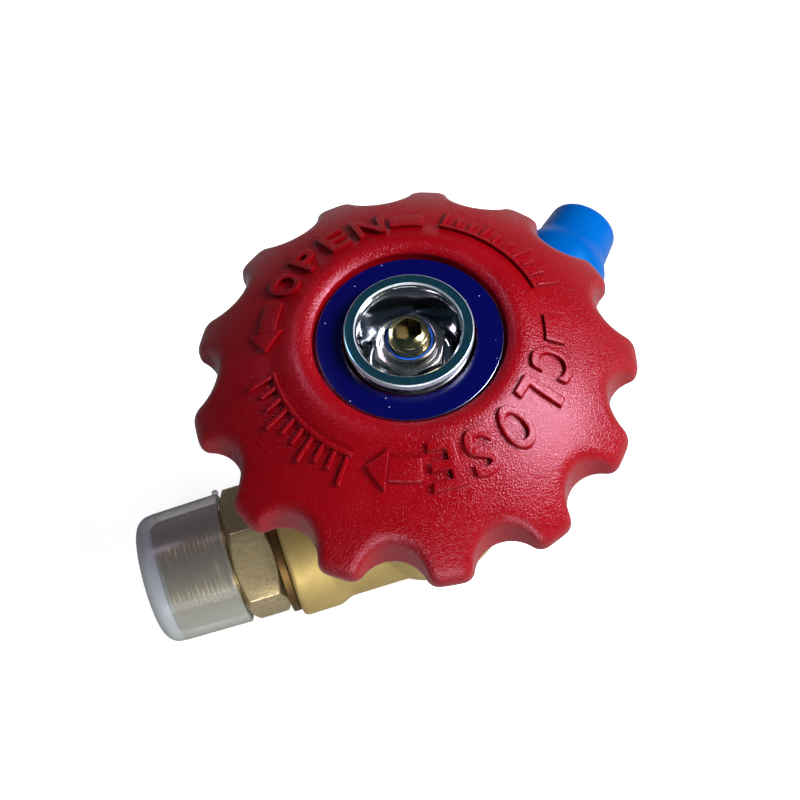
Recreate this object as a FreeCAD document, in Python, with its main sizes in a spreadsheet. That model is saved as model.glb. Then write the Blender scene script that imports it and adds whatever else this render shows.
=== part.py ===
import FreeCAD, Part
import math
import os
import re
import Sketcher

# Shut-off valve: a globe valve with a sprung, non-rising handwheel.
# Millimetres. The origin is the centre of the flat foot, +Z runs up the stem to the handwheel,
# and the inlet points along -X.

# Driving sizes: name, value, meaning
SIZES = (
    ("foot_radius", 11.0, "flat foot under the body"),
    ("foot_height", 1.0, "straight edge of the foot"),
    ("barrel_radius", 16.5, "barrel of the forged body"),
    ("barrel_start", 20.0, "height where the barrel is straight"),
    ("collar_radius", 17.5, "collar round the top of the body"),
    ("collar_length", 4.0, "straight length of that collar"),
    ("collar_clearance", 1.2, "collar over the inlet arm"),
    ("port_clearance", 0.3, "inlet boss clear of what the foot stands on"),
    ("inlet_angle", 180.0, "plan direction of the inlet, degrees"),
    ("outlet_angle", 44.0, "plan direction of the outlet, degrees"),
    ("inlet_face", 29.0, "stem axis to the inlet boss's face"),
    ("inlet_boss_radius", 14.7, "inlet boss"),
    ("inlet_boss_length", 7.5, "straight length of the inlet boss"),
    ("inlet_arm_radius", 13.8, "inlet arm between boss and barrel"),
    ("outlet_face", 33.0, "stem axis to the outlet boss's face"),
    ("outlet_boss_radius", 12.6, "outlet boss"),
    ("outlet_boss_length", 9.0, "straight length of the outlet boss"),
    ("outlet_arm_radius", 11.6, "outlet arm between boss and barrel"),
    ("boss_blend", 4.0, "curve from each boss down to its arm"),
    ("boss_run", 2.0, "length of that curve along the arm"),
    ("body_fillet", 2.0, "blend where the arms leave the barrel"),
    ("edge_break", 0.6, "chamfer on turned edges"),
    ("chamber_radius", 12.0, "chamber round the seat"),
    ("floor_wall", 2.5, "wall between the inlet passage and the chamber"),
    ("seat_crown", 2.0, "height of the seat's crown"),
    ("seat_outer", 6.0, "outside of the seat's crown"),
    ("seat_bore", 4.0, "hole up through the seat"),
    ("passage_radius", 4.5, "inlet passage"),
    ("outlet_drill", 3.2, "slanted passage from the chamber to the outlet"),
    ("inlet_socket", 9.2, "threaded socket in the inlet boss"),
    ("inlet_socket_depth", 12.0, "depth of that socket"),
    ("outlet_socket", 7.2, "threaded socket in the outlet boss"),
    ("outlet_socket_depth", 13.0, "depth of that socket"),
    ("thread_gap", 0.1, "radial clearance in every threaded fit"),
    ("running_gap", 0.05, "radial clearance of the turning stem"),
    ("bonnet_bore", 13.0, "threaded mouth of the body"),
    ("bonnet_engagement", 6.7, "length of the bonnet's spigot in the body"),
    ("gasket_thickness", 1.0, "gasket under the bonnet"),
    ("gasket_outer", 16.6, "outside of that gasket"),
    ("bonnet_flats", 32.0, "spanner size of the bonnet"),
    ("bonnet_hex", 9.0, "height of the bonnet's hexagon"),
    ("bonnet_clocking", 15.0, "turn of that hexagon, degrees"),
    ("bonnet_shoulder", 13.5, "round shoulder over the hexagon"),
    ("bonnet_taper", 5.0, "height of the taper to the neck"),
    ("neck_radius", 10.6, "neck of the bonnet"),
    ("spindle_bore", 8.0, "threaded bore for the lower stem"),
    ("shaft_bore", 4.5, "bore for the upper stem's shaft"),
    ("stem_lift", 4.0, "travel of the lower stem, closed to open"),
    ("disc_radius", 6.4, "soft seat disc"),
    ("disc_thickness", 2.5, "soft seat disc"),
    ("holder_radius", 7.4, "disc holder"),
    ("holder_web", 3.0, "disc holder above the disc"),
    ("holder_lip", 1.7, "how far the holder's skirt covers the disc"),
    ("button_neck", 2.6, "neck under the holder's button"),
    ("button_neck_length", 2.3, "length of that neck"),
    ("button_radius", 4.4, "button held in the lower stem's T-slot"),
    ("button_thickness", 2.2, "button"),
    ("slot_gap", 0.2, "clearance round the button"),
    ("screw_head", 2.5, "head of the disc screw"),
    ("screw_head_height", 1.2, "head of the disc screw"),
    ("screw_radius", 1.5, "shank of the disc screw"),
    ("screw_grip", 2.4, "shank length in the holder"),
    ("spindle_length", 16.0, "lower stem"),
    ("drive_square", 7.0, "square socket in the lower stem"),
    ("drive_depth", 9.6, "depth of that socket"),
    ("drive_gap", 0.1, "clearance on each side of the square tang"),
    ("end_gap", 0.4, "clearance at the ends of the lower stem's travel"),
    ("stem_collar_radius", 7.4, "thrust collar of the upper stem"),
    ("stem_collar", 2.4, "thickness of the thrust collar"),
    ("stem_seal", 1.0, "thickness of the sealing washer over the collar"),
    ("ring_groove", 0.95, "depth of the stem's ring groove"),
    ("ring_section", 0.43, "section radius of the stem's sealing ring"),
    ("ring_height", 4.0, "sealing shoulder to the ring's centre"),
    ("ring_room", 1.4, "width of the ring groove"),
    ("washer_thickness", 0.7, "thrust washer under the handwheel"),
    ("washer_radius", 8.6, "thrust washer under the handwheel"),
    ("neck_end", 3.05, "bonnet's neck over the ring groove"),
    ("wheel_clocking", -1.0, "turn of the handwheel at rest, degrees"),
    ("wheel_square", 6.2, "square on the upper stem for the handwheel"),
    ("lobes", 13, "lobes round the rim"),
    ("lobe_radius", 34.9, "tips of the lobes"),
    ("scallop_depth", 4.3, "lobe tips down to the bottom of the scallops"),
    ("scallop_share", 0.6286, "finger scallop as a share of the lobes' pitch"),
    ("scallop_draft", 0.13, "widening of the scallop with height"),
    ("rim_round", 0.9, "how far the rim's upper edge stands in from the tips"),
    ("rim_edge", 3.2, "height of the rim's upper edge"),
    ("rim_curve", 1.7, "rounding of the rim's upper edge"),
    ("dome_curve", 43.0, "arc of the domed top"),
    ("dome_radius", 20.0, "where the dome meets the bead"),
    ("dome_height", 11.8, "height there"),
    ("bead_radius", 18.5, "outside of the raised bead"),
    ("bead_height", 13.0, "height of the bead's sides"),
    ("bead_curve", 2.25, "arc over the bead"),
    ("bead_blend", 2.5, "hollow between bead and dome"),
    ("wheel_fillet", 0.9, "rounding of the scallops' upper edges"),
    ("web", 2.7, "wall of the domed web"),
    ("rim_wall", 3.2, "wall between the scallops and the hollow under the rim"),
    ("pocket_draft", 1.0, "lean of that hollow's outer wall"),
    ("pocket_height", 5.0, "height of the hollow at its outer wall"),
    ("hub_radius", 13.4, "hub under the web"),
    ("hub_draft", 0.6, "lean of the hub's side"),
    ("hub_drop", 2.0, "how far the hub stands below the rim"),
    ("rib_count", 6, "ribs under the web"),
    ("rib_width", 2.0, "ribs under the web"),
    ("rib_rise", 0.8, "rib edge above the rim's lower face"),
    ("plate_radius", 14.0, "ring plate in the hub's recess"),
    ("plate_thickness", 1.0, "ring plate"),
    ("plate_top", 12.3, "top of the ring plate above the rim's lower face"),
    ("plate_gap", 0.4, "gap round the ring plate"),
    ("plate_hole", 9.95, "hole in the ring plate"),
    ("spring_pocket", 9.8, "pocket for the spring"),
    ("spring_seat", 2.0, "floor of that pocket above the rim's lower face"),
    ("cup_top", 14.5, "top of the spring cup above the rim's lower face"),
    ("cup_flange", 9.55, "outside of the cup's flange"),
    ("cup_flange_inner", 8.2, "inside of the cup's flat flange"),
    ("cup_flange_thickness", 1.3, "flange of the cup"),
    ("cup_roll", 1.3, "rounding from the flange into the cup"),
    ("cup_mouth", 7.0, "inside of the cup under the flange"),
    ("cup_base", 6.7, "inside of the cup at its floor"),
    ("cup_corner", 0.9, "rounding at the floor"),
    ("cup_floor", 5.8, "floor of the cup above the rim's lower face"),
    ("cup_wall", 0.9, "wall of the cup"),
    ("cup_hole", 3.35, "hole for the stud"),
    ("spring_wire", 0.65, "wire radius of the spring"),
    ("spring_mean", 8.75, "mean radius of the spring"),
    ("spring_turns", 4.5, "turns of the spring"),
    ("nut_flats", 10.0, "spanner size of the lock nut"),
    ("nut_hex", 4.5, "height of the nut's hexagon"),
    ("nut_clocking", 8.0, "turn of that hexagon, degrees"),
    ("nut_height", 6.0, "height of the nut"),
    ("nut_collar", 4.05, "round collar of the nut"),
    ("insert_outer", 3.65, "nylon insert"),
    ("insert_depth", 1.3, "depth of the insert's recess"),
    ("insert_sink", 0.15, "insert below the collar's edge"),
    ("stud_radius", 3.1, "threaded stud end of the upper stem"),
    ("stud_top", 15.0, "end of the stud above the rim's lower face"),
    ("stud_dome", 1.3, "height of the stud's domed end"),
    ("stud_dome_curve", 4.4, "curve of that dome"),
    ("stud_key", 1.55, "corner radius of the hexagon key hole in the stud"),
    ("stud_key_depth", 1.6, "depth of that hole"),
    ("key_clocking", 20.0, "turn of that hole, degrees"),
    ("seal_thickness", 1.5, "sealing ring under each adapter's hexagon"),
    ("inlet_seal_outer", 10.9, "sealing ring at the inlet"),
    ("inlet_flats", 23.0, "spanner size of the inlet adapter"),
    ("inlet_hex", 8.0, "length of that hexagon"),
    ("inlet_clocking", 25.6, "turn of that hexagon, degrees"),
    ("inlet_relief", 9.4, "thread relief behind the inlet thread"),
    ("relief_length", 1.5, "length of that relief"),
    ("inlet_thread", 10.67, "inlet pipe thread at its large end"),
    ("inlet_thread_length", 12.0, "inlet pipe thread"),
    ("thread_taper", 0.03125, "fall of the radius along a taper thread"),
    ("inlet_bore", 6.0, "bore of the inlet adapter"),
    ("outlet_seal_outer", 9.0, "sealing ring at the outlet"),
    ("outlet_flats", 19.0, "spanner size of the outlet adapter"),
    ("outlet_hex", 9.0, "length of that hexagon"),
    ("outlet_clocking", 15.0, "turn of that hexagon, degrees"),
    ("outlet_shank", 8.6, "shank of the outlet adapter"),
    ("outlet_shank_length", 18.5, "shank of the outlet adapter"),
    ("outlet_thread", 6.58, "outlet thread"),
    ("outlet_thread_length", 11.0, "outlet thread"),
    ("outlet_bore", 4.4, "bore of the outlet adapter"),
    ("cap_wall", 1.1, "wall of the thread caps"),
    ("cap_end_gap", 0.4, "cap's end wall clear of the thread's end"),
    ("inlet_cap_gap", 0.35, "inlet cap's radial clearance on the thread"),
    ("inlet_cap_end_wall", 2.6, "end wall of the inlet cap"),
    ("inlet_cap_round", 2.6, "rounding of the inlet cap's end"),
    ("inlet_cap_taper", 0.3, "how much the inlet cap narrows to its end"),
    ("outlet_cap_gap", 0.35, "outlet cap's radial clearance on the thread"),
    ("outlet_cap_round", 2.4, "rounding of the outlet cap's end"),
    ("outlet_cap_taper", 0.75, "how much the outlet cap narrows to its end"),
    ("outlet_cap_skirt", 5.0, "straight skirt over the shank"),
    ("outlet_cap_cone", 4.0, "length of the flare between thread and skirt"),
)

# Shares of a size
HEX_CORE = "0.95"
HEX_CROWN = "0.97"
RIM_SIDE = "0.8"

# Heights and stations that several pieces share, as formulas of the sizes
FOOT_STEP = "(barrel_radius - foot_radius)"
FOOT_RISE = "(barrel_start - foot_height)"
FOOT_FLARE = f"({FOOT_STEP}^2 + {FOOT_RISE}^2) / (2 * {FOOT_STEP})"
HOLDER_TOP = "seat_height + disc_thickness + holder_web"
BUTTON_LOW = f"{HOLDER_TOP} + button_neck_length"
SPINDLE_LOW = f"{HOLDER_TOP} + drive_gap"
SLOT_ROOF = f"{BUTTON_LOW} + button_thickness + drive_gap"
SPINDLE_TOP = f"{SPINDLE_LOW} + spindle_length"
SOCKET_FLOOR = f"{SPINDLE_TOP} - drive_depth"
TANG_TIP = f"{SOCKET_FLOOR} + stem_lift + end_gap"
COLLAR_LOW = f"{SPINDLE_TOP} + stem_lift + end_gap"
COLLAR_TOP = f"{COLLAR_LOW} + stem_collar"
SEAL_SHOULDER = f"{COLLAR_TOP} + stem_seal + running_gap"
RING_CENTRE = f"{SEAL_SHOULDER} + ring_height"
WASHER_LOW = f"{RING_CENTRE} + ring_room / 2 + neck_end"
HUB_LOW = f"{WASHER_LOW} + washer_thickness + drive_gap"
SHAFT = "shaft_bore - running_gap"
PLATE_LOW = "plate_top - plate_thickness"
BONNET_FOOT = "body_height + gasket_thickness"
HEX_TOP = f"{BONNET_FOOT} + bonnet_hex"
INLET_HEX = "inlet_face + seal_thickness"
INLET_HEX_END = f"{INLET_HEX} + inlet_hex"
INLET_THREAD = f"{INLET_HEX_END} + relief_length"
INLET_END = f"{INLET_THREAD} + inlet_thread_length"
INLET_CAP_END = f"{INLET_END} + cap_end_gap + inlet_cap_end_wall"
INLET_CAP_INNER = "inlet_thread + inlet_cap_gap"
OUTLET_HEX = "outlet_face + seal_thickness"
OUTLET_HEX_END = f"{OUTLET_HEX} + outlet_hex"
OUTLET_SHANK_END = f"{OUTLET_HEX_END} + outlet_shank_length"
OUTLET_END = f"{OUTLET_SHANK_END} + outlet_thread_length"
OUTLET_CAP_INNER = "outlet_thread + outlet_cap_gap"
OUTLET_SKIRT = "outlet_shank + outlet_cap_gap"

# Sizes that follow from the driving ones: name, formula, meaning
DERIVED = (
    ("port_height", "inlet_boss_radius + port_clearance", "axes of both ports above the foot"),
    ("body_height", "port_height + inlet_arm_radius + collar_clearance + collar_length", "top face of the body"),
    ("chamber_floor", "port_height + passage_radius + floor_wall", "floor of the chamber"),
    ("seat_height", "chamber_floor + seat_crown", "top of the seat's crown"),
    ("wheel_height", f"{HUB_LOW} + hub_drop", "lower face of the handwheel's rim above the foot"),
    ("valley_radius", "lobe_radius - scallop_depth", "bottom of the finger scallops"),
    ("scallop_radius", "lobe_radius * sin(180 / lobes) * scallop_share", "finger scallop at the rim's lower face"),
    ("pocket_radius", "valley_radius - rim_wall", "hollow under the rim"),
)
ALIASES = {alias for alias, value, meaning in SIZES + DERIVED}

LEFT = "centre on the left"
RIGHT = "centre on the right"

doc = FreeCAD.newDocument("ShutOffValve")
sheet = doc.addObject("Spreadsheet::Sheet", "Sizes")
for row, (alias, value, meaning) in enumerate(SIZES + DERIVED, start=1):
    sheet.set(f"A{row}", meaning)
    sheet.set(f"B{row}", f"={value}")
    sheet.setAlias(f"B{row}", alias)
doc.recompute()


# Reading the sheet
def link(formula):
    """A formula with each size's name turned into a reference to the sheet."""
    return re.sub("[a-z_]+", lambda word: f"Sizes.{word[0]}" if word[0] in ALIASES else word[0], formula)


def size(formula):
    """A formula's present value."""
    return float(sheet.evalExpression(link(formula)))


def bind(feature, **formulas):
    """Ties properties of a feature to formulas; two underscores stand for a dot."""
    for path, formula in formulas.items():
        feature.setExpression(path.replace("__", "."), link(formula))


# Building features
def new_body(label):
    body = doc.addObject("PartDesign::Body", label)
    body.Label = label
    return body


def origin_part(body, role):
    return next(part for part in body.Origin.OriginFeatures if part.Role == role)


def attach(body, feature, role, along="0", turn="0", corner=("0", "0")):
    """Puts a feature on an origin plane, moved along its normal and turned about it."""
    feature.AttachmentSupport = [(origin_part(body, role), "")]
    feature.MapMode = "FlatFace"
    bind(feature, AttachmentOffset__Base__x=corner[0], AttachmentOffset__Base__y=corner[1])
    bind(feature, AttachmentOffset__Base__z=along, AttachmentOffset__Rotation__Angle=turn)


def arc(start, stop, radius, side):
    """The short arc between two points, with its centre on the named side of the way."""
    way = stop - start
    across = FreeCAD.Vector(-way.y, way.x, 0).normalize()
    reach = (radius**2 - (way.Length / 2) ** 2) ** 0.5
    centre = start + way * 0.5 + across * (reach if side == LEFT else -reach)
    first, last = (start, stop) if side == LEFT else (stop, start)
    angles = [math.atan2(point.y - centre.y, point.x - centre.x) for point in (first, last)]
    return Part.ArcOfCircle(Part.Circle(centre, FreeCAD.Vector(0, 0, 1), radius), *angles)


def outline(body, name, corners, role, **place):
    """A closed sketch. Each corner is (x, y), or (x, y, radius, side) where an arc leads to it."""
    sketch = body.newObject("Sketcher::SketchObject", name)
    attach(body, sketch, role, **place)
    points = [FreeCAD.Vector(size(corner[0]), size(corner[1]), 0) for corner in corners]
    ends = []
    for index, corner in enumerate(corners):
        start, stop = points[index - 1], points[index]
        bent = len(corner) == 4
        edge = arc(start, stop, size(corner[2]), corner[3]) if bent else Part.LineSegment(start, stop)
        sketch.addGeometry(edge, False)
        ends.append((2, 1) if bent and corner[3] == RIGHT else (1, 2))
    for index, corner in enumerate(corners):
        following = (index + 1) % len(corners)
        sketch.addConstraint(
            Sketcher.Constraint("Coincident", index, ends[index][1], following, ends[following][0])
        )
        pin_point(sketch, index, ends[index][1], corner)
        if len(corner) == 4:
            place_at = sketch.addConstraint(Sketcher.Constraint("Radius", index, size(corner[2])))
            sketch.setExpression(f"Constraints[{place_at}]", link(corner[2]))
    return sketch


def pin_point(sketch, edge, end, corner):
    """Ties one corner of an outline to its two formulas."""
    for kind, axis, formula in (("DistanceX", -2, corner[0]), ("DistanceY", -1, corner[1])):
        if formula == "0":
            sketch.addConstraint(Sketcher.Constraint("PointOnObject", edge, end, axis))
            continue
        number = sketch.addConstraint(Sketcher.Constraint(kind, -1, 1, edge, end, size(formula)))
        sketch.setExpression(f"Constraints[{number}]", link(formula))


def turned(body, name, corners, cut=False):
    """A profile of (radius, height) turned about the body's Z axis."""
    sketch = outline(body, f"{name}_profile", corners, "XZ_Plane")
    return revolve(body, name, sketch, "V_Axis", cut)


def turned_along(body, name, corners, cut=False, **place):
    """A profile of (station, radius) turned about the sketch's own X axis."""
    sketch = outline(body, f"{name}_profile", corners, "XY_Plane", **place)
    return revolve(body, name, sketch, "H_Axis", cut)


def revolve(body, name, sketch, axis, cut):
    feature = body.newObject("PartDesign::Groove" if cut else "PartDesign::Revolution", name)
    feature.Profile = sketch
    feature.ReferenceAxis = (sketch, [axis])
    feature.Angle = 360
    return feature


def hexagon(body, name, flats, height, role="XY_Plane", along="0", turn="0", cut=False):
    """A hexagonal prism, sized across its flats."""
    prism = body.newObject("PartDesign::SubtractivePrism" if cut else "PartDesign::AdditivePrism", name)
    prism.Polygon = 6
    attach(body, prism, role, along=along, turn=turn)
    bind(prism, Circumradius=f"({flats}) / sqrt(3)", Height=height)
    return prism


def square(body, name, side, low, high, cut=False):
    """A square prism on the stem axis."""
    box = body.newObject("PartDesign::SubtractiveBox" if cut else "PartDesign::AdditiveBox", name)
    attach(body, box, "XY_Plane", along=low, corner=(f"-({side}) / 2", f"-({side}) / 2"))
    bind(box, Length=side, Width=side, Height=f"({high}) - ({low})")
    return box


def around(body, name, feature, count):
    """Repeats a feature round the body's Z axis."""
    pattern = body.newObject("PartDesign::PolarPattern", name)
    pattern.Originals = [feature]
    pattern.Axis = (origin_part(body, "Z_Axis"), [""])
    pattern.Angle = 360
    bind(pattern, Occurrences=count)
    body.Tip = pattern
    return pattern


def round_edges(body, name, radius, chosen):
    """Fillets the edges of the body's present shape that a test picks."""
    doc.recompute()
    base = body.Tip
    edges = [f"Edge{index}" for index, edge in enumerate(base.Shape.Edges, start=1) if chosen(edge)]
    fillet = body.newObject("PartDesign::Fillet", name)
    fillet.Base = (base, edges)
    bind(fillet, Radius=radius)
    return fillet


def ring(label, inner, outer, low, high, base="0"):
    """A flat ring on the stem axis."""
    body = new_body(label)
    turned(body, f"{label}_ring", ((inner, low), (outer, low), (outer, high), (inner, high)))
    bind(body, Placement__Base__z=base)
    return body


def port_ring(label, angle, inner, outer, start, stop):
    """A flat ring on a port's axis."""
    body = new_body(label)
    turned_along(body, f"{label}_ring", ((start, inner), (stop, inner), (stop, outer), (start, outer)))
    face_port(body, angle)
    return body


def face_port(body, angle):
    """Lays a piece drawn along X onto a port's axis."""
    bind(body, Placement__Base__z="port_height", Placement__Rotation__Angle=angle)


def hexagon_bevels(body, name, flats, start, stop):
    """Takes the corners off both ends of a hexagon drawn along X, at thirty degrees."""
    inner, outer = f"({flats}) / 2 * {HEX_CROWN}", f"({flats}) / sqrt(3) + edge_break"
    fall = f"(({outer}) - ({inner})) * tan(30)"
    turned_along(
        body, f"{name}_near", ((start, inner), (f"{start} + {fall}", outer), (start, outer)), cut=True
    )
    turned_along(
        body, f"{name}_far", ((stop, inner), (stop, outer), (f"{stop} - {fall}", outer)), cut=True
    )


# The body and its fixed pieces
def arm_profile(face, boss_radius, boss_length, arm_radius):
    """Half outline of a port arm, from the stem axis to the boss's face."""
    boss_start = f"{face} - {boss_length}"
    return (
        ("0", "0"),
        (face, "0"),
        (face, f"{boss_radius} - edge_break"),
        (f"{face} - edge_break", boss_radius),
        (boss_start, boss_radius),
        (f"{boss_start} - boss_run", arm_radius, "boss_blend", RIGHT),
        ("0", arm_radius),
    )


def socket_profile(face, socket, depth, end_station, end_radius, tip):
    """Half outline of a port's threaded socket and the passage behind it."""
    return (
        (face, "0"),
        (face, f"{socket} + edge_break"),
        (f"{face} - edge_break", socket),
        (f"{face} - {depth}", socket),
        (f"{face} - {depth}", end_radius),
        (end_station, end_radius),
        (f"{end_station} - {tip}", "0"),
    )


def make_valve_body():
    body = new_body("valve_body")
    collar_start = "body_height - collar_length"
    turned(body, "barrel", (
        ("0", "0"),
        ("foot_radius", "0"),
        ("foot_radius", "foot_height"),
        ("barrel_radius", "barrel_start", FOOT_FLARE, LEFT),
        ("barrel_radius", f"{collar_start} - edge_break"),
        ("collar_radius", collar_start),
        ("collar_radius", "body_height - edge_break"),
        ("collar_radius - edge_break", "body_height"),
        ("0", "body_height"),
    ))
    for name, angle, face, boss, length, arm in (
        ("inlet_arm", "inlet_angle", "inlet_face", "inlet_boss_radius", "inlet_boss_length", "inlet_arm_radius"),
        ("outlet_arm", "outlet_angle", "outlet_face", "outlet_boss_radius", "outlet_boss_length",
         "outlet_arm_radius"),
    ):
        profile = arm_profile(face, boss, length, arm)
        turned_along(body, name, profile, along="port_height", turn=angle)
    round_edges(body, "arm_blends", "body_fillet", is_arm_root)
    turned(body, "chamber", (
        ("0", "seat_height"),
        ("seat_outer", "seat_height"),
        ("seat_outer", "chamber_floor"),
        ("chamber_radius", "chamber_floor"),
        ("chamber_radius", "body_height - bonnet_engagement - edge_break"),
        ("bonnet_bore", "body_height - bonnet_engagement - edge_break"),
        ("bonnet_bore", "body_height - edge_break"),
        ("bonnet_bore + edge_break", "body_height"),
        ("0", "body_height"),
    ), cut=True)
    turned(body, "seat_hole", (
        ("0", "port_height"), ("seat_bore", "port_height"), ("seat_bore", "seat_height"), ("0", "seat_height"),
    ), cut=True)
    turned_along(
        body, "inlet_passage",
        socket_profile("inlet_face", "inlet_socket", "inlet_socket_depth", "0", "passage_radius", "seat_outer / 2"),
        cut=True, along="port_height", turn="inlet_angle",
    )
    turned_along(
        body, "outlet_socket",
        socket_profile("outlet_face", "outlet_socket", "outlet_socket_depth",
                       "(outlet_face - outlet_socket_depth - edge_break)", "outlet_bore", "edge_break"),
        cut=True, along="port_height", turn="outlet_angle",
    )
    slanted_passage(body)
    return body


def is_arm_root(edge):
    """An edge where a port arm runs into the barrel."""
    return edge.Curve.TypeId.endswith("BSplineCurve") and edge.BoundBox.ZLength > size("edge_break")


def slanted_passage(body):
    """The drilling from the outlet's socket up into the chamber."""
    up = FreeCAD.Vector(0, 0, 1)
    angle = FreeCAD.Rotation(up, size("outlet_angle"))
    socket_end = FreeCAD.Vector(size("outlet_face - outlet_socket_depth"), 0, size("port_height + edge_break * 2"))
    chamber_side = FreeCAD.Vector(size("(seat_outer + chamber_radius) / 2"), 0, size("seat_height"))
    start = angle.multVec(socket_end)
    stop = angle.multVec(chamber_side)
    drill = body.newObject("PartDesign::SubtractiveCylinder", "outlet_passage")
    drill.AttachmentSupport = [(origin_part(body, "XY_Plane"), "")]
    drill.MapMode = "FlatFace"
    way = stop - start
    drill.AttachmentOffset = FreeCAD.Placement(start, FreeCAD.Rotation(up, way))
    bind(drill, Radius="outlet_drill")
    drill.Height = way.Length


def make_bonnet():
    body = new_body("bonnet")
    spigot = "bonnet_bore - thread_gap"
    low = "body_height - bonnet_engagement"
    turned(body, "bonnet_turning", (
        ("spindle_bore", low),
        (f"{spigot} - edge_break", low),
        (spigot, f"{low} + edge_break"),
        (spigot, BONNET_FOOT),
        (f"bonnet_flats / 2 * {HEX_CORE}", BONNET_FOOT),
        (f"bonnet_flats / 2 * {HEX_CORE}", HEX_TOP),
        ("bonnet_shoulder", HEX_TOP),
        ("neck_radius", f"{HEX_TOP} + bonnet_taper", "bonnet_taper * 2", RIGHT),
        ("neck_radius", f"{WASHER_LOW} - edge_break"),
        ("neck_radius - edge_break", WASHER_LOW),
        ("shaft_bore", WASHER_LOW),
        ("shaft_bore", SEAL_SHOULDER),
        ("spindle_bore", SEAL_SHOULDER),
    ))
    hexagon(body, "bonnet_hexagon", "bonnet_flats", "bonnet_hex", along=BONNET_FOOT, turn="bonnet_clocking")
    inner, outer = f"bonnet_flats / 2 * {HEX_CROWN}", "bonnet_flats / sqrt(3) + edge_break"
    fall = f"(({outer}) - ({inner})) * tan(30)"
    turned(body, "hexagon_top_bevel", (
        (inner, HEX_TOP), (outer, f"{HEX_TOP} - {fall}"), (outer, HEX_TOP),
    ), cut=True)
    turned(body, "hexagon_low_bevel", (
        (inner, BONNET_FOOT), (outer, BONNET_FOOT), (outer, f"{BONNET_FOOT} + {fall}"),
    ), cut=True)
    turned(body, "hexagon_core", (
        ("0", low), ("spindle_bore", low), ("spindle_bore", SEAL_SHOULDER), ("0", SEAL_SHOULDER),
    ), cut=True)
    return body


def make_inlet_adapter():
    body = new_body("inlet_adapter")
    spigot = "inlet_socket - thread_gap"
    spigot_start = "inlet_face - inlet_socket_depth + edge_break"
    thread_end = "inlet_thread - inlet_thread_length * thread_taper"
    turned_along(body, "inlet_turning", (
        (spigot_start, "inlet_bore"),
        (spigot_start, f"{spigot} - edge_break"),
        (f"{spigot_start} + edge_break", spigot),
        (INLET_HEX, spigot),
        (INLET_HEX, f"inlet_flats / 2 * {HEX_CORE}"),
        (INLET_HEX_END, f"inlet_flats / 2 * {HEX_CORE}"),
        (INLET_HEX_END, "inlet_relief"),
        (INLET_THREAD, "inlet_relief"),
        (f"{INLET_THREAD} + edge_break", "inlet_thread"),
        (f"{INLET_END} - edge_break", thread_end),
        (INLET_END, f"{thread_end} - edge_break"),
        (INLET_END, "inlet_bore"),
    ))
    hexagon(body, "inlet_hexagon", "inlet_flats", "inlet_hex", "YZ_Plane", along=INLET_HEX, turn="inlet_clocking")
    hexagon_bevels(body, "inlet_bevel", "inlet_flats", INLET_HEX, INLET_HEX_END)
    turned_along(body, "inlet_hex_core", (
        (spigot_start, "0"), (INLET_END, "0"), (INLET_END, "inlet_bore"), (spigot_start, "inlet_bore"),
    ), cut=True)
    face_port(body, "inlet_angle")
    return body


def make_outlet_adapter():
    body = new_body("outlet_adapter")
    spigot = "outlet_socket - thread_gap"
    spigot_start = "outlet_face - outlet_socket_depth + edge_break"
    turned_along(body, "outlet_turning", (
        (spigot_start, "outlet_bore"),
        (spigot_start, f"{spigot} - edge_break"),
        (f"{spigot_start} + edge_break", spigot),
        (OUTLET_HEX, spigot),
        (OUTLET_HEX, f"outlet_flats / 2 * {HEX_CORE}"),
        (OUTLET_HEX_END, f"outlet_flats / 2 * {HEX_CORE}"),
        (OUTLET_HEX_END, "outlet_shank"),
        (f"{OUTLET_SHANK_END} - edge_break", "outlet_shank"),
        (OUTLET_SHANK_END, "outlet_shank - edge_break"),
        (OUTLET_SHANK_END, "outlet_thread"),
        (f"{OUTLET_END} - edge_break", "outlet_thread"),
        (OUTLET_END, "outlet_thread - edge_break"),
        (OUTLET_END, "outlet_bore"),
    ))
    hexagon(body, "outlet_hexagon", "outlet_flats", "outlet_hex", "YZ_Plane", along=OUTLET_HEX, turn="outlet_clocking")
    hexagon_bevels(body, "outlet_bevel", "outlet_flats", OUTLET_HEX, OUTLET_HEX_END)
    turned_along(body, "outlet_hex_core", (
        (spigot_start, "0"), (OUTLET_END, "0"), (OUTLET_END, "outlet_bore"), (spigot_start, "outlet_bore"),
    ), cut=True)
    face_port(body, "outlet_angle")
    return body


def make_inlet_cap():
    body = new_body("inlet_cap")
    inner = INLET_CAP_INNER
    outer_end = f"{inner} + cap_wall - inlet_cap_taper"
    inner_end = f"{INLET_CAP_END} - inlet_cap_end_wall"
    turned_along(body, "inlet_cap_shell", (
        (f"{INLET_HEX_END} + drive_gap", inner),
        (f"{INLET_HEX_END} + drive_gap", f"{inner} + cap_wall"),
        (f"{INLET_CAP_END} - inlet_cap_round", outer_end),
        (INLET_CAP_END, f"{outer_end} - inlet_cap_round", "inlet_cap_round", RIGHT),
        (INLET_CAP_END, "0"),
        (inner_end, "0"),
        (inner_end, f"{inner} - inlet_cap_taper"),
    ))
    face_port(body, "inlet_angle")
    return body


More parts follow.
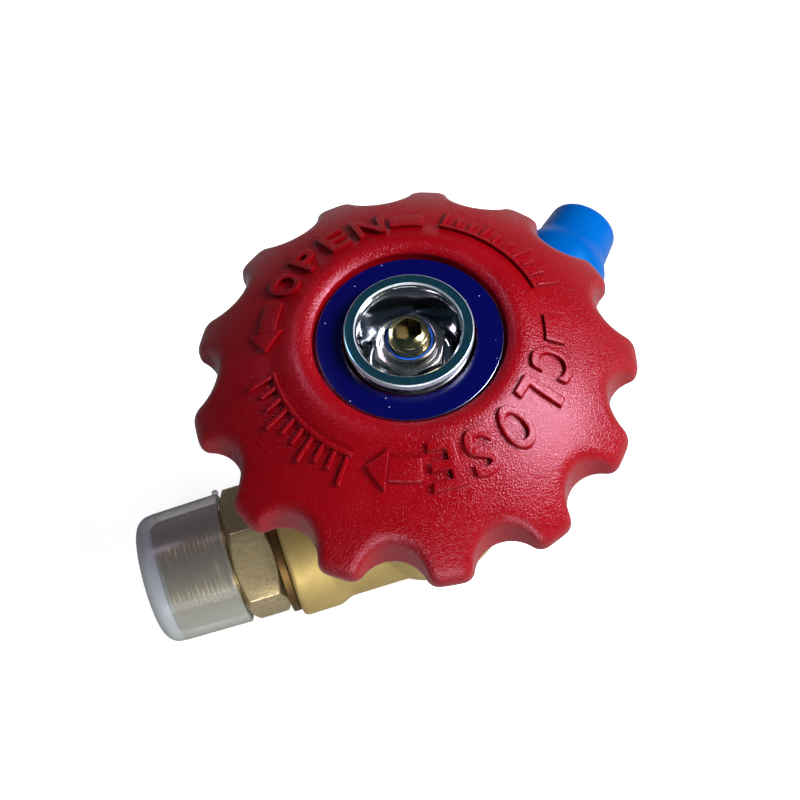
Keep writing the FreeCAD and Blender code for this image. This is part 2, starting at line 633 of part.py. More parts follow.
def make_outlet_cap():
    body = new_body("outlet_cap")
    inner, skirt = OUTLET_CAP_INNER, OUTLET_SKIRT
    cone_end = f"{OUTLET_SHANK_END} + outlet_cap_cone"
    inner_end = f"{OUTLET_END} + cap_end_gap"
    outer_end = f"{inner} + cap_wall - outlet_cap_taper"
    open_end = f"{OUTLET_SHANK_END} - outlet_cap_skirt"
    turned_along(body, "outlet_cap_shell", (
        (open_end, skirt),
        (open_end, f"{skirt} + cap_wall"),
        (f"{OUTLET_SHANK_END} + edge_break", f"{skirt} + cap_wall"),
        (cone_end, f"{inner} + cap_wall", "outlet_cap_cone * 2", LEFT),
        (f"{inner_end} + cap_wall - outlet_cap_round", outer_end),
        (f"{inner_end} + cap_wall", f"{outer_end} - outlet_cap_round", "outlet_cap_round", RIGHT),
        (f"{inner_end} + cap_wall", "0"),
        (inner_end, "0"),
        (inner_end, "outlet_thread - edge_break"),
        (f"{inner_end} - edge_break * 2", inner),
        (cone_end, inner),
        (f"{OUTLET_SHANK_END} + edge_break", skirt),
    ))
    face_port(body, "outlet_angle")
    return body


# The stem in two pieces, and what it carries
def make_upper_stem():
    body = new_body("upper_stem")
    groove = "ring_room / 2"
    stud_end = "wheel_height + stud_top"
    turned(body, "stem_turning", (
        ("0", COLLAR_LOW),
        ("stem_collar_radius", COLLAR_LOW),
        ("stem_collar_radius", COLLAR_TOP),
        (SHAFT, COLLAR_TOP),
        (SHAFT, f"{RING_CENTRE} - {groove}"),
        (f"{SHAFT} - ring_groove", f"{RING_CENTRE} - {groove}"),
        (f"{SHAFT} - ring_groove", f"{RING_CENTRE} + {groove}"),
        (SHAFT, f"{RING_CENTRE} + {groove}"),
        (SHAFT, HUB_LOW),
        ("stud_radius", HUB_LOW),
        ("stud_radius", f"{stud_end} - stud_dome"),
        ("0", stud_end, "stud_dome_curve", LEFT),
    ))
    square(body, "drive_tang", "drive_square - drive_gap * 2", TANG_TIP, COLLAR_LOW)
    square(body, "wheel_drive", "wheel_square", HUB_LOW, "wheel_height + spring_seat")
    key = body.newObject("PartDesign::SubtractivePrism", "key_hole")
    key.Polygon = 6
    attach(body, key, "XY_Plane", along=f"{stud_end} - stud_key_depth", turn="key_clocking")
    bind(key, Circumradius="stud_key", Height="stud_key_depth")
    return body


def make_stem_ring():
    body = new_body("stem_o_ring")
    torus = body.newObject("PartDesign::AdditiveTorus", "o_ring")
    attach(body, torus, "XY_Plane", along=RING_CENTRE)
    bind(torus, Radius1=f"{SHAFT} - ring_groove + ring_section + running_gap / 2", Radius2="ring_section")
    return body


def make_lower_stem():
    body = new_body("lower_stem")
    radius = "spindle_bore - thread_gap"
    turned(body, "spindle", (
        ("0", SPINDLE_LOW),
        (f"{radius} - edge_break", SPINDLE_LOW),
        (radius, f"{SPINDLE_LOW} + edge_break"),
        (radius, f"{SPINDLE_TOP} - edge_break"),
        (f"{radius} - edge_break", SPINDLE_TOP),
        ("0", SPINDLE_TOP),
    ))
    square(body, "drive_socket", "drive_square", SOCKET_FLOOR, SPINDLE_TOP, cut=True)
    slot_step(body, "slot_neck", "button_neck + slot_gap", SPINDLE_LOW, f"{BUTTON_LOW} - slot_gap")
    slot_step(body, "slot_head", "button_radius + slot_gap", f"{BUTTON_LOW} - slot_gap", SLOT_ROOF)
    return body


def slot_step(body, name, radius, low, high):
    """One width of the T-slot: a round end on the axis and a way out through the side."""
    cylinder = body.newObject("PartDesign::SubtractiveCylinder", f"{name}_end")
    attach(body, cylinder, "XY_Plane", along=low)
    bind(cylinder, Radius=radius, Height=f"({high}) - ({low})")
    box = body.newObject("PartDesign::SubtractiveBox", f"{name}_way")
    attach(body, box, "XY_Plane", along=low, corner=(f"-({radius})", "-spindle_bore"))
    bind(box, Length=f"({radius}) * 2", Width="spindle_bore", Height=f"({high}) - ({low})")


def make_disc_holder():
    body = new_body("disc_holder")
    disc_top = "seat_height + disc_thickness"
    turned(body, "holder_turning", (
        ("0", f"{disc_top} + screw_grip + drive_gap"),
        ("screw_radius + running_gap", f"{disc_top} + screw_grip + drive_gap"),
        ("screw_radius + running_gap", disc_top),
        ("disc_radius + running_gap", disc_top),
        ("disc_radius + running_gap", f"{disc_top} - holder_lip"),
        ("holder_radius", f"{disc_top} - holder_lip"),
        ("holder_radius", f"{HOLDER_TOP} - edge_break"),
        ("holder_radius - edge_break", HOLDER_TOP),
        ("button_neck", HOLDER_TOP),
        ("button_neck", BUTTON_LOW),
        ("button_radius", BUTTON_LOW),
        ("button_radius", f"{BUTTON_LOW} + button_thickness"),
        ("0", f"{BUTTON_LOW} + button_thickness"),
    ))
    return body


def make_disc_screw():
    body = new_body("disc_screw")
    turned(body, "screw", (
        ("0", "seat_height - screw_head_height"),
        ("screw_head - edge_break", "seat_height - screw_head_height"),
        ("screw_head", "seat_height - screw_head_height / 2", "screw_head_height", LEFT),
        ("screw_head", "seat_height"),
        ("screw_radius", "seat_height"),
        ("screw_radius", "seat_height + disc_thickness + screw_grip"),
        ("0", "seat_height + disc_thickness + screw_grip"),
    ))
    return body


# The handwheel and what stands in its hub; heights count from the rim's lower face
def make_handwheel():
    body = new_body("handwheel")
    recess = "plate_radius + plate_gap"
    turned(body, "wheel_turning", (
        ("0", "-hub_drop"),
        ("hub_radius - hub_draft", "-hub_drop"),
        ("hub_radius", "dome_height - web"),
        ("dome_radius - bead_curve", "dome_height - web + rim_round / 2"),
        ("pocket_radius - pocket_draft", "pocket_height", "dome_curve - web", RIGHT),
        ("pocket_radius", "0"),
        ("lobe_radius - edge_break", "0"),
        ("lobe_radius", "edge_break"),
        ("lobe_radius", f"rim_edge - rim_curve * {RIM_SIDE}"),
        ("lobe_radius - rim_round", "rim_edge", "rim_curve", LEFT),
        ("dome_radius", "dome_height", "dome_curve", LEFT),
        ("bead_radius", "bead_height", "bead_blend", RIGHT),
        (recess, "bead_height - edge_break / 2", "bead_curve", LEFT),
        (recess, PLATE_LOW),
        ("spring_pocket", PLATE_LOW),
        ("spring_pocket", "spring_seat"),
        ("0", "spring_seat"),
    ))
    rib = make_rib(body)
    around(body, "ribs", rib, "rib_count")
    scallop = body.newObject("PartDesign::SubtractiveCone", "scallop")
    attach(body, scallop, "XY_Plane", along="-edge_break", corner=("valley_radius + scallop_radius", "0"))
    reach = "(dome_height + edge_break)"
    bind(scallop, Radius1="scallop_radius - scallop_draft * edge_break")
    bind(scallop, Radius2="scallop_radius + scallop_draft * dome_height", Height=reach)
    around(body, "scallops", scallop, "lobes")
    round_edges(body, "scallop_edges", "wheel_fillet", is_scallop_edge)
    square(body, "square_hole", "wheel_square + running_gap * 2", "-hub_drop", "spring_seat", cut=True)
    bind(body, Placement__Base__z="wheel_height", Placement__Rotation__Angle="wheel_clocking")
    return body


def make_rib(body):
    """One rib from the hub to the rim, inside the web's wall at its top."""
    profile = outline(body, "rib_profile", (
        ("hub_radius - web / 2", "rib_rise"),
        ("pocket_radius + web / 2", "rib_rise"),
        ("pocket_radius + web / 2", "pocket_height"),
        ("pocket_radius - pocket_draft", "pocket_height + web / 2"),
        ("dome_radius - bead_curve", "dome_height - web / 2"),
        ("hub_radius - web / 2", "dome_height - web / 2"),
    ), "XZ_Plane", along="-rib_width / 2")
    rib = body.newObject("PartDesign::Pad", "rib")
    rib.Profile = profile
    bind(rib, Length="rib_width")
    return rib


def is_scallop_edge(edge):
    """An upper edge of a scallop: outside the valleys, above the rim's lower face, not level."""
    box = edge.BoundBox
    centre = edge.CenterOfMass
    reach = FreeCAD.Vector(centre.x, centre.y, 0).Length
    high = box.ZMin > size("rim_edge") - size("rim_curve")
    sloping = box.ZLength > size("edge_break")
    return high and sloping and size("valley_radius - web") < reach < size("lobe_radius") and len(edge.Vertexes) == 2


def make_spring_cup():
    body = new_body("spring_cup")
    under = "cup_top - cup_flange_thickness"
    base = "cup_floor - cup_wall"
    turned(body, "cup_shell", (
        ("cup_hole", base),
        ("cup_base - cup_corner", base),
        ("cup_base + cup_wall", "cup_floor + cup_corner", "cup_corner + cup_wall", LEFT),
        ("cup_mouth + cup_wall", under),
        ("cup_flange", under),
        ("cup_flange", "cup_top - edge_break / 3"),
        ("cup_flange - edge_break / 3", "cup_top"),
        ("cup_flange_inner", "cup_top"),
        ("cup_mouth", "cup_top - cup_roll", "cup_roll", LEFT),
        ("cup_base", "cup_floor + cup_corner"),
        ("cup_base - cup_corner", "cup_floor", "cup_corner", RIGHT),
        ("cup_hole", "cup_floor"),
    ))
    bind(body, Placement__Base__z="wheel_height")
    return body


def make_spring():
    """The coil between the pocket's floor and the cup's flange."""
    room = "cup_top - cup_flange_thickness - spring_seat - spring_wire * 2"
    coil = doc.addObject("Part::Helix", "spring_line")
    bind(coil, Pitch=f"({room} - running_gap * 2) / spring_turns", Radius="spring_mean")
    bind(coil, Height=f"{room} - running_gap * 2")
    wire = doc.addObject("Part::Circle", "spring_section")
    wire.Placement.Rotation = FreeCAD.Rotation(FreeCAD.Vector(1, 0, 0), 90)
    bind(wire, Radius="spring_wire", Placement__Base__x="spring_mean")
    sweep = doc.addObject("Part::Sweep", "stem_spring")
    sweep.Label = "stem_spring"
    doc.recompute()
    sweep.Sections = [wire]
    sweep.Spine = (coil, ["Edge1"])
    sweep.Solid = True
    sweep.Frenet = True
    bind(sweep, Placement__Base__z="wheel_height + spring_seat + spring_wire + running_gap")
    return sweep


def make_lock_nut():
    body = new_body("lock_nut")
    hexagon(body, "nut_hexagon", "nut_flats", "nut_hex", along="cup_floor", turn="nut_clocking")
    inner, outer = f"nut_flats / 2 * {HEX_CORE}", "nut_flats / sqrt(3) + edge_break"
    fall = f"(({outer}) - ({inner})) * tan(30)"
    top = "(cup_floor + nut_hex)"
    end = "cup_floor + nut_height"
    turned(body, "nut_low_bevel", (
        (inner, "cup_floor"), (outer, "cup_floor"), (outer, f"cup_floor + {fall}"),
    ), cut=True)
    turned(body, "nut_top_bevel", (
        (inner, top), (outer, f"{top} - {fall}"), (outer, top),
    ), cut=True)
    turned(body, "nut_collar", (
        ("0", f"{top} - edge_break"),
        ("nut_collar", f"{top} - edge_break"),
        ("nut_collar", f"{end} - edge_break / 2"),
        ("nut_collar - edge_break / 2", end),
        ("0", end),
    ))
    thread = "stud_radius + thread_gap"
    turned(body, "nut_bore", (
        ("0", "cup_floor"), (thread, "cup_floor"), (thread, end), ("0", end),
    ), cut=True)
    turned(body, "insert_recess", (
        (thread, f"{end} - insert_depth - insert_sink"),
        ("insert_outer", f"{end} - insert_depth - insert_sink"),
        ("insert_outer", end),
        (thread, end),
    ), cut=True)
    bind(body, Placement__Base__z="wheel_height")
    return body


def make_all():
    """Every sub-part of the valve, in the order in which it goes together."""
    gasket = ("bonnet_bore + edge_break * 2", "gasket_outer", "body_height", BONNET_FOOT)
    seal = (f"{SHAFT} + thread_gap", "stem_collar_radius", f"{COLLAR_TOP} + running_gap", SEAL_SHOULDER)
    washer = (f"{SHAFT} + thread_gap * 2", "washer_radius", WASHER_LOW, f"{WASHER_LOW} + washer_thickness")
    disc = ("screw_radius + running_gap", "disc_radius", "seat_height", "seat_height + disc_thickness")
    plate = ("plate_hole", "plate_radius", PLATE_LOW, "plate_top")
    nut_end = "cup_floor + nut_height - insert_sink"
    insert = ("stud_radius + running_gap", "insert_outer - running_gap", f"{nut_end} - insert_depth", nut_end)
    inlet = ("inlet_socket + edge_break * 2", "inlet_seal_outer", "inlet_face", INLET_HEX)
    outlet = ("outlet_socket + edge_break * 2", "outlet_seal_outer", "outlet_face", OUTLET_HEX)
    return (
        make_valve_body(),
        port_ring("inlet_seal", "inlet_angle", inlet[0], inlet[1], inlet[2], inlet[3]),
        make_inlet_adapter(),
        make_inlet_cap(),
        port_ring("outlet_seal", "outlet_angle", outlet[0], outlet[1], outlet[2], outlet[3]),
        make_outlet_adapter(),
        make_outlet_cap(),
        ring("bonnet_gasket", *gasket),
        make_bonnet(),
        ring("stem_seal", *seal),
        ring("thrust_washer", *washer),
        make_upper_stem(),
        make_stem_ring(),
        make_lower_stem(),
        make_disc_holder(),
        ring("seat_disc", *disc),
        make_disc_screw(),
        make_handwheel(),
        ring("hub_plate", *plate, base="wheel_height"),
        make_spring(),
        make_spring_cup(),
        make_lock_nut(),
        ring("nylon_insert", *insert, base="wheel_height"),
    )


def check_and_write(pieces):
    """Stops at any failed object or bad solid, then writes each sub-part."""
    doc.recompute()
    failed = [thing.Label for thing in doc.Objects if {"Invalid", "Error"} & set(thing.State)]
    if failed:
        raise RuntimeError(f"failed objects: {failed}")
    for piece in pieces:
        shape = piece.Shape
        if shape.isNull() or not shape.isValid() or not shape.Solids:
            raise RuntimeError(f"bad solid: {piece.Label}")
    os.makedirs("parts", exist_ok=True)
    for piece in pieces:
        piece.Shape.exportStep(f"parts/{piece.Label}.step")
        print(f"{piece.Label}: {len(piece.Shape.Solids)} solid, {piece.Shape.Volume:.0f} mm3")


check_and_write(make_all())
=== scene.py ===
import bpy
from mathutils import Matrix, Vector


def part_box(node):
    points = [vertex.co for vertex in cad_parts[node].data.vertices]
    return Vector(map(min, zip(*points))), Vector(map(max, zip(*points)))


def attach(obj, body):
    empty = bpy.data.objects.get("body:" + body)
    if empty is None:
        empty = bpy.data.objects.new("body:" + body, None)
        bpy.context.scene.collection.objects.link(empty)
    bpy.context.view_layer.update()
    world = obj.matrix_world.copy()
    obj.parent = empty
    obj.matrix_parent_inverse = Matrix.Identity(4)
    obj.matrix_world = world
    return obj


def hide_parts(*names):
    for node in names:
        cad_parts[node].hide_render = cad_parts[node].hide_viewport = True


bl_info = {
    "name": "Shut-off valve",
    "version": (1, 0, 0),
    "blender": (4, 5, 0),
    "location": "3D View > Sidebar > Valve",
    "description": "Dresses the packed shut-off valve with finished pieces and materials",
    "category": "Object",
}

import math

import bpy
from bpy.props import FloatProperty, FloatVectorProperty, IntProperty, PointerProperty
from mathutils import Matrix, Vector

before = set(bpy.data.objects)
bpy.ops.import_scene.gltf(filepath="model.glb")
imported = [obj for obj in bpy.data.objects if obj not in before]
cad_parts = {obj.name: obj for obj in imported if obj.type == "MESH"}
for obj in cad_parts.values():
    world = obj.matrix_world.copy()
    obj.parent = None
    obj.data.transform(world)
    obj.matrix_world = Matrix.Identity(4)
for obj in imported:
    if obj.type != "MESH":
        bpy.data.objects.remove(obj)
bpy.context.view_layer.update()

MM = 0.001
FULL_TURN = 2 * math.pi
LEFT = 1
RIGHT = -1

# Places that several pieces share, in millimetres
WHEEL_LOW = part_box("handwheel")[0].z / MM + 2.0
PORT_HEIGHT = (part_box("inlet_cap")[0].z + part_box("inlet_cap")[1].z) / 2 / MM
WHEEL_CLOCKING = math.radians(-1.0)
INLET_TURN = math.radians(180.0)
OUTLET_TURN = math.radians(44.0)


# The ports, in millimetres out from the stem's axis; a hexagon is its flats, start and end
INLET_FACE = 29.0
INLET_HEXAGON = (23.0, 30.5, 38.5)
OUTLET_FACE = 33.0
OUTLET_HEXAGON = (19.0, 34.5, 43.5)


# Sizes and colours that a user would change
def size_setting(name, description, value, precision=4):
    """A length that a user can change; its default is given in millimetres."""
    return FloatProperty(
        name=name, description=description, default=value * MM, unit="LENGTH", precision=precision
    )


def colour_setting(name, description, default):
    """A colour that a user can change."""
    return FloatVectorProperty(
        name=name, description=description, subtype="COLOR", size=4, default=default, min=0, max=1
    )


class WheelSizes(bpy.types.PropertyGroup):
    lobes: IntProperty(name="Lobes", description="Lobes round the rim", default=13, min=5, max=24)
    lobe_radius: size_setting("Lobe radius", "Tips of the lobes", 34.65)
    valley_radius: size_setting("Valley radius", "Bottom of the finger scallops", 30.6)
    scallop_radius: size_setting("Scallop radius", "Finger scallop at the rim's lower face", 5.25)
    lobe_corner: size_setting("Lobe corner", "Rounding of each lobe's corners in plan", 2.1)
    rim_rounding: size_setting("Rim rounding", "Rounding of the rim's upper edge", 1.5)


class LegendSizes(bpy.types.PropertyGroup):
    open_height: size_setting("Open height", "Height of the opening word's letters", 5.4)
    close_height: size_setting("Close height", "Height of the closing word's letters", 6.2)
    relief: size_setting("Relief", "How far the legend stands up from the wheel", 0.85, precision=5)
    stroke: size_setting("Stroke", "Width of the raised lines", 0.8, precision=5)


class Finishes(bpy.types.PropertyGroup):
    wheel_paint: colour_setting("Wheel paint", "Red coating of the handwheel", (0.26, 0.001, 0.004, 1.0))
    plate_blue: colour_setting("Plate blue", "Dark blue of the ring plate", (0.0008, 0.001, 0.068, 1.0))
    brass: colour_setting("Brass", "Dulled brass of the body and adapters", (0.46, 0.345, 0.125, 1.0))
    cap_blue: colour_setting("Cap blue", "Plastic of the outlet's cap", (0.0, 0.11, 0.46, 1.0))


# Selecting and finishing meshes
def deselect_all():
    if bpy.context.object and bpy.context.object.mode != "OBJECT":
        bpy.ops.object.mode_set(mode="OBJECT")
    bpy.ops.object.select_all(action="DESELECT")


def choose(piece):
    """Makes a piece the only selected and active one."""
    deselect_all()
    piece.select_set(True)
    bpy.context.view_layer.objects.active = piece


def clean(piece, gap=0.002 * MM):
    """Merges doubles and turns the faces outwards."""
    choose(piece)
    bpy.ops.object.mode_set(mode="EDIT")
    bpy.ops.mesh.select_all(action="SELECT")
    bpy.ops.mesh.remove_doubles(threshold=gap)
    bpy.ops.mesh.normals_make_consistent(inside=False)
    bpy.ops.object.mode_set(mode="OBJECT")


def smooth(piece, angle=35):
    choose(piece)
    bpy.ops.object.shade_smooth_by_angle(angle=math.radians(angle))


def bevel(piece, width, segments=3, angle=30):
    """Rounds a piece's sharp edges."""
    choose(piece)
    bpy.ops.object.modifier_add(type="BEVEL")
    modifier = piece.modifiers[-1]
    modifier.width = width * MM
    modifier.segments = segments
    modifier.limit_method = "ANGLE"
    modifier.angle_limit = math.radians(angle)
    modifier.harden_normals = False
    bpy.ops.object.modifier_apply(modifier=modifier.name)


def combine(piece, tool, operation):
    """Cuts, joins or crops a piece with a closed tool, which is then gone."""
    choose(piece)
    bpy.ops.object.modifier_add(type="BOOLEAN")
    modifier = piece.modifiers[-1]
    modifier.operation = operation
    modifier.solver = "EXACT"
    modifier.object = tool
    bpy.ops.object.modifier_apply(modifier=modifier.name)
    bpy.data.objects.remove(tool)
    clean(piece)


def join(piece, others):
    """Makes one mesh of a piece and others."""
    deselect_all()
    for other in others:
        other.select_set(True)
    piece.select_set(True)
    bpy.context.view_layer.objects.active = piece
    bpy.ops.object.join()


def place(piece, height=0.0, turn=0.0):
    """Lifts a piece that was made on the Z axis to its place and turns it there."""
    choose(piece)
    piece.rotation_euler = (0, 0, turn)
    piece.location = (0, 0, height * MM)
    bpy.ops.object.transform_apply(location=True, rotation=True, scale=True)


def finish(piece, name, body, material, replaced=()):
    """Names a finished piece, gives it its material and ties it to its body."""
    piece.name = name
    piece.data.name = name
    if material is not None:
        piece.data.materials.clear()
        piece.data.materials.append(material)
    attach(piece, body)
    if replaced:
        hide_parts(*replaced)
    return piece


# Profiles of turned pieces
def arc_points(start, end, radius, side, grain=7.0):
    """Points of the short arc between two points, with its centre on one side of the way."""
    way = Vector(end) - Vector(start)
    across = Vector((-way.y, way.x)).normalized()
    reach = math.sqrt(max(radius**2 - (way.length / 2) ** 2, 0.0))
    centre = Vector(start) + way / 2 + across * reach * side
    first, last = Vector(start) - centre, Vector(end) - centre
    sweep = first.angle_signed(last) * -1
    count = max(2, math.ceil(abs(math.degrees(sweep)) / grain))
    begin = math.atan2(first.y, first.x)
    turns = [begin + sweep * step / count for step in range(1, count)]
    return [(centre.x + radius * math.cos(turn), centre.y + radius * math.sin(turn)) for turn in turns]


def corner_points(before, corner, after, radius, count=4):
    """Points that round one corner."""
    here = Vector(corner)
    back, ahead = Vector(before) - here, Vector(after) - here
    half = back.angle(ahead) / 2
    reach = min(radius / math.tan(half), back.length * 0.49, ahead.length * 0.49)
    fitted = reach * math.tan(half)
    start, end = here + back.normalized() * reach, here + ahead.normalized() * reach
    centre = here + (back.normalized() + ahead.normalized()).normalized() * (fitted / math.sin(half))
    points = []
    for step in range(count + 1):
        spot = start.lerp(end, step / count) - centre
        points.append(tuple(centre + spot.normalized() * fitted))
    return points


def profile(entries, closed=True):
    """Points of a profile. An entry is (r, z), (r, z, corner) or (r, z, arc radius, side)."""
    points = []
    total = len(entries)
    for index, entry in enumerate(entries):
        before = entries[index - 1][:2]
        here = entry[:2]
        after = entries[(index + 1) % total][:2]
        if len(entry) == 4:
            points += arc_points(before, here, entry[2], entry[3])
        inner = closed or 0 < index < total - 1
        if len(entry) == 3 and inner:
            points += corner_points(before, here, after, entry[2])
        else:
            points.append(here)
    return points


def extruded_wire(points, closed):
    """A mesh wire drawn in the XZ plane by extruding one vertex from point to point."""
    deselect_all()
    bpy.ops.mesh.primitive_plane_add(size=MM, location=(0, 0, 0))
    bpy.ops.object.mode_set(mode="EDIT")
    bpy.ops.mesh.select_all(action="SELECT")
    bpy.ops.mesh.merge(type="CENTER")
    here = Vector((points[0][0], 0, points[0][1])) * MM
    bpy.ops.transform.translate(value=here)
    for radius, height in points[1:]:
        there = Vector((radius, 0, height)) * MM
        bpy.ops.mesh.extrude_region_move(TRANSFORM_OT_translate={"value": there - here})
        here = there
    if closed:
        back = Vector((points[0][0], 0, points[0][1])) * MM
        bpy.ops.mesh.extrude_region_move(TRANSFORM_OT_translate={"value": back - here})
    bpy.ops.mesh.select_all(action="SELECT")
    bpy.ops.mesh.remove_doubles(threshold=0.0005 * MM)
    bpy.ops.object.mode_set(mode="OBJECT")
    return bpy.context.object


def turned(entries, steps=128, closed=True):
    """A solid turned about the Z axis. An open profile starts and ends on the axis."""
    piece = extruded_wire(profile(entries, closed), closed)
    bpy.ops.object.mode_set(mode="EDIT")
    bpy.ops.mesh.select_all(action="SELECT")
    bpy.ops.mesh.spin(steps=steps, angle=FULL_TURN, center=(0, 0, 0), axis=(0, 0, 1))
    bpy.ops.object.mode_set(mode="OBJECT")
    clean(piece)
    return piece


def ring(inner, outer, low, high, edge=0.15, steps=96):
    """A flat ring with broken edges."""
    return turned(((inner, low, edge), (outer, low, edge), (outer, high, edge), (inner, high, edge)), steps)


def hexagon(flats, low, high, turn=0.0):
    """A hexagonal prism with bevelled ends; its turn is a corner's direction from +X."""
    corner = flats / math.sqrt(3)
    deselect_all()
    bpy.ops.mesh.primitive_cylinder_add(
        vertices=6, radius=corner * MM, depth=(high - low) * MM, location=(0, 0, (low + high) / 2 * MM)
    )
    prism = bpy.context.object
    bpy.ops.object.transform_apply(location=True, rotation=True, scale=True)
    prism.rotation_euler.z = turn - math.pi / 2
    bpy.ops.object.transform_apply(location=True, rotation=True, scale=True)
    inner = flats / 2 * 0.97
    outer = corner + 0.6
    fall = (outer - inner) * math.tan(math.radians(30))
    envelope = turned(
        ((0, low), (inner, low), (outer, low + fall), (outer, high - fall), (inner, high), (0, high)),
        steps=96, closed=False,
    )
    combine(prism, envelope, "INTERSECT")
    return prism


def square_prism(side, low, high):
    deselect_all()
    bpy.ops.mesh.primitive_cube_add(size=MM, location=(0, 0, (low + high) / 2 * MM))
    block = bpy.context.object
    block.scale = (side, side, high - low)
    bpy.ops.object.transform_apply(location=True, rotation=True, scale=True)
    return block


def cut_thread(piece, low, high, pitch, depth, radius, taper=0.0):
    """Presses a helical thread into the cylinder between two heights."""
    span = 0.15
    for vertex in piece.data.vertices:
        spot = vertex.co / MM
        reach = math.hypot(spot.x, spot.y)
        crest = radius - (spot.z - low) * taper
        if not low <= spot.z <= high or reach < crest - span:
            continue
        phase = (spot.z / pitch - math.atan2(spot.y, spot.x) / FULL_TURN) % 1.0
        tooth = abs(phase - 0.5) * 2
        sunk = min(max(tooth * 1.5 - 0.25, 0.0), 1.0)
        fade = min(1.0, (spot.z - low) / pitch, (high - spot.z) / pitch * 2)
        scale = 1 - depth * sunk * max(fade, 0.0) / reach
        vertex.co.x *= scale
        vertex.co.y *= scale


def fine_wall(radius, low, high, step=0.16, taper=0.0):
    """Close profile stations along a cylinder that a thread is pressed into."""
    count = math.ceil((high - low) / step)
    return [
        (radius - taper * (high - low) * place_at / count, low + (high - low) * place_at / count)
        for place_at in range(count + 1)
    ]


# Shader node groups
def group_start(name, inputs, outputs):
    tree = bpy.data.node_groups.new(name, "ShaderNodeTree")
    for label, kind, value in inputs:
        socket = tree.interface.new_socket(name=label, in_out="INPUT", socket_type=kind)
        socket.default_value = value
    for label, kind in outputs:
        tree.interface.new_socket(name=label, in_out="OUTPUT", socket_type=kind)
    return tree, tree.nodes.new("NodeGroupInput"), tree.nodes.new("NodeGroupOutput")


def noise_node(tree, detail=3.0, roughness=0.5):
    node = tree.nodes.new("ShaderNodeTexNoise")
    node.inputs["Detail"].default_value = detail
    node.inputs["Roughness"].default_value = roughness
    return node


def map_range(tree, low, high, to_low=0.0, to_high=1.0):
    node = tree.nodes.new("ShaderNodeMapRange")
    node.inputs["From Min"].default_value = low
    node.inputs["From Max"].default_value = high
    node.inputs["To Min"].default_value = to_low
    node.inputs["To Max"].default_value = to_high
    return node


def pebble_group():
    """Small soft bumps of a sprayed coating: a fine skin on rounder pebbles."""
    tree, given, put_out = group_start(
        "Pebble coat",
        [
            ("Vector", "NodeSocketVector", (0, 0, 0)),
            ("Grain", "NodeSocketFloat", 1500.0),
            ("Skin", "NodeSocketFloat", 4200.0),
        ],
        [("Height", "NodeSocketFloat"), ("Mottle", "NodeSocketFloat")],
    )
    link = tree.links.new
    pebbles = noise_node(tree, 1.5, 0.5)
    skin = noise_node(tree, 1.0, 0.5)
    mottle = noise_node(tree, 2.0, 0.6)
    link(given.outputs["Vector"], pebbles.inputs["Vector"])
    link(given.outputs["Vector"], skin.inputs["Vector"])
    link(given.outputs["Vector"], mottle.inputs["Vector"])
    link(given.outputs["Grain"], pebbles.inputs["Scale"])
    link(given.outputs["Skin"], skin.inputs["Scale"])
    mottle.inputs["Scale"].default_value = 130.0
    rounded = map_range(tree, 0.35, 0.65)
    rounded.interpolation_type = "SMOOTHSTEP"
    link(pebbles.outputs["Fac"], rounded.inputs["Value"])
    share = tree.nodes.new("ShaderNodeMath")
    share.operation = "MULTIPLY_ADD"
    share.inputs[1].default_value = 0.35
    link(skin.outputs["Fac"], share.inputs[0])
    link(rounded.outputs["Result"], share.inputs[2])
    link(share.outputs["Value"], put_out.inputs["Height"])
    link(mottle.outputs["Fac"], put_out.inputs["Mottle"])
    return tree


def tarnish_group():
    """Cloudy darkening of old metal, with a fine forged or turned grain."""
    tree, given, put_out = group_start(
        "Tarnish",
        [
            ("Vector", "NodeSocketVector", (0, 0, 0)),
            ("Bright", "NodeSocketColor", (0.6, 0.5, 0.25, 1)),
            ("Dull", "NodeSocketColor", (0.3, 0.25, 0.1, 1)),
            ("Cloud Size", "NodeSocketFloat", 180.0),
            ("Grain Size", "NodeSocketFloat", 2600.0),
        ],
        [("Color", "NodeSocketColor"), ("Height", "NodeSocketFloat"), ("Cloud", "NodeSocketFloat")],
    )
    link = tree.links.new
    cloud = noise_node(tree, 4.0, 0.6)
    grain = noise_node(tree, 3.0, 0.6)
    link(given.outputs["Vector"], cloud.inputs["Vector"])
    link(given.outputs["Vector"], grain.inputs["Vector"])
    link(given.outputs["Cloud Size"], cloud.inputs["Scale"])
    link(given.outputs["Grain Size"], grain.inputs["Scale"])
    spread = map_range(tree, 0.35, 0.68)
    link(cloud.outputs["Fac"], spread.inputs["Value"])
    mix = tree.nodes.new("ShaderNodeMix")
    mix.data_type = "RGBA"
    link(spread.outputs["Result"], mix.inputs["Factor"])
    link(given.outputs["Bright"], mix.inputs["A"])
    link(given.outputs["Dull"], mix.inputs["B"])
    link(mix.outputs["Result"], put_out.inputs["Color"])
    link(grain.outputs["Fac"], put_out.inputs["Height"])
    link(spread.outputs["Result"], put_out.inputs["Cloud"])
    return tree


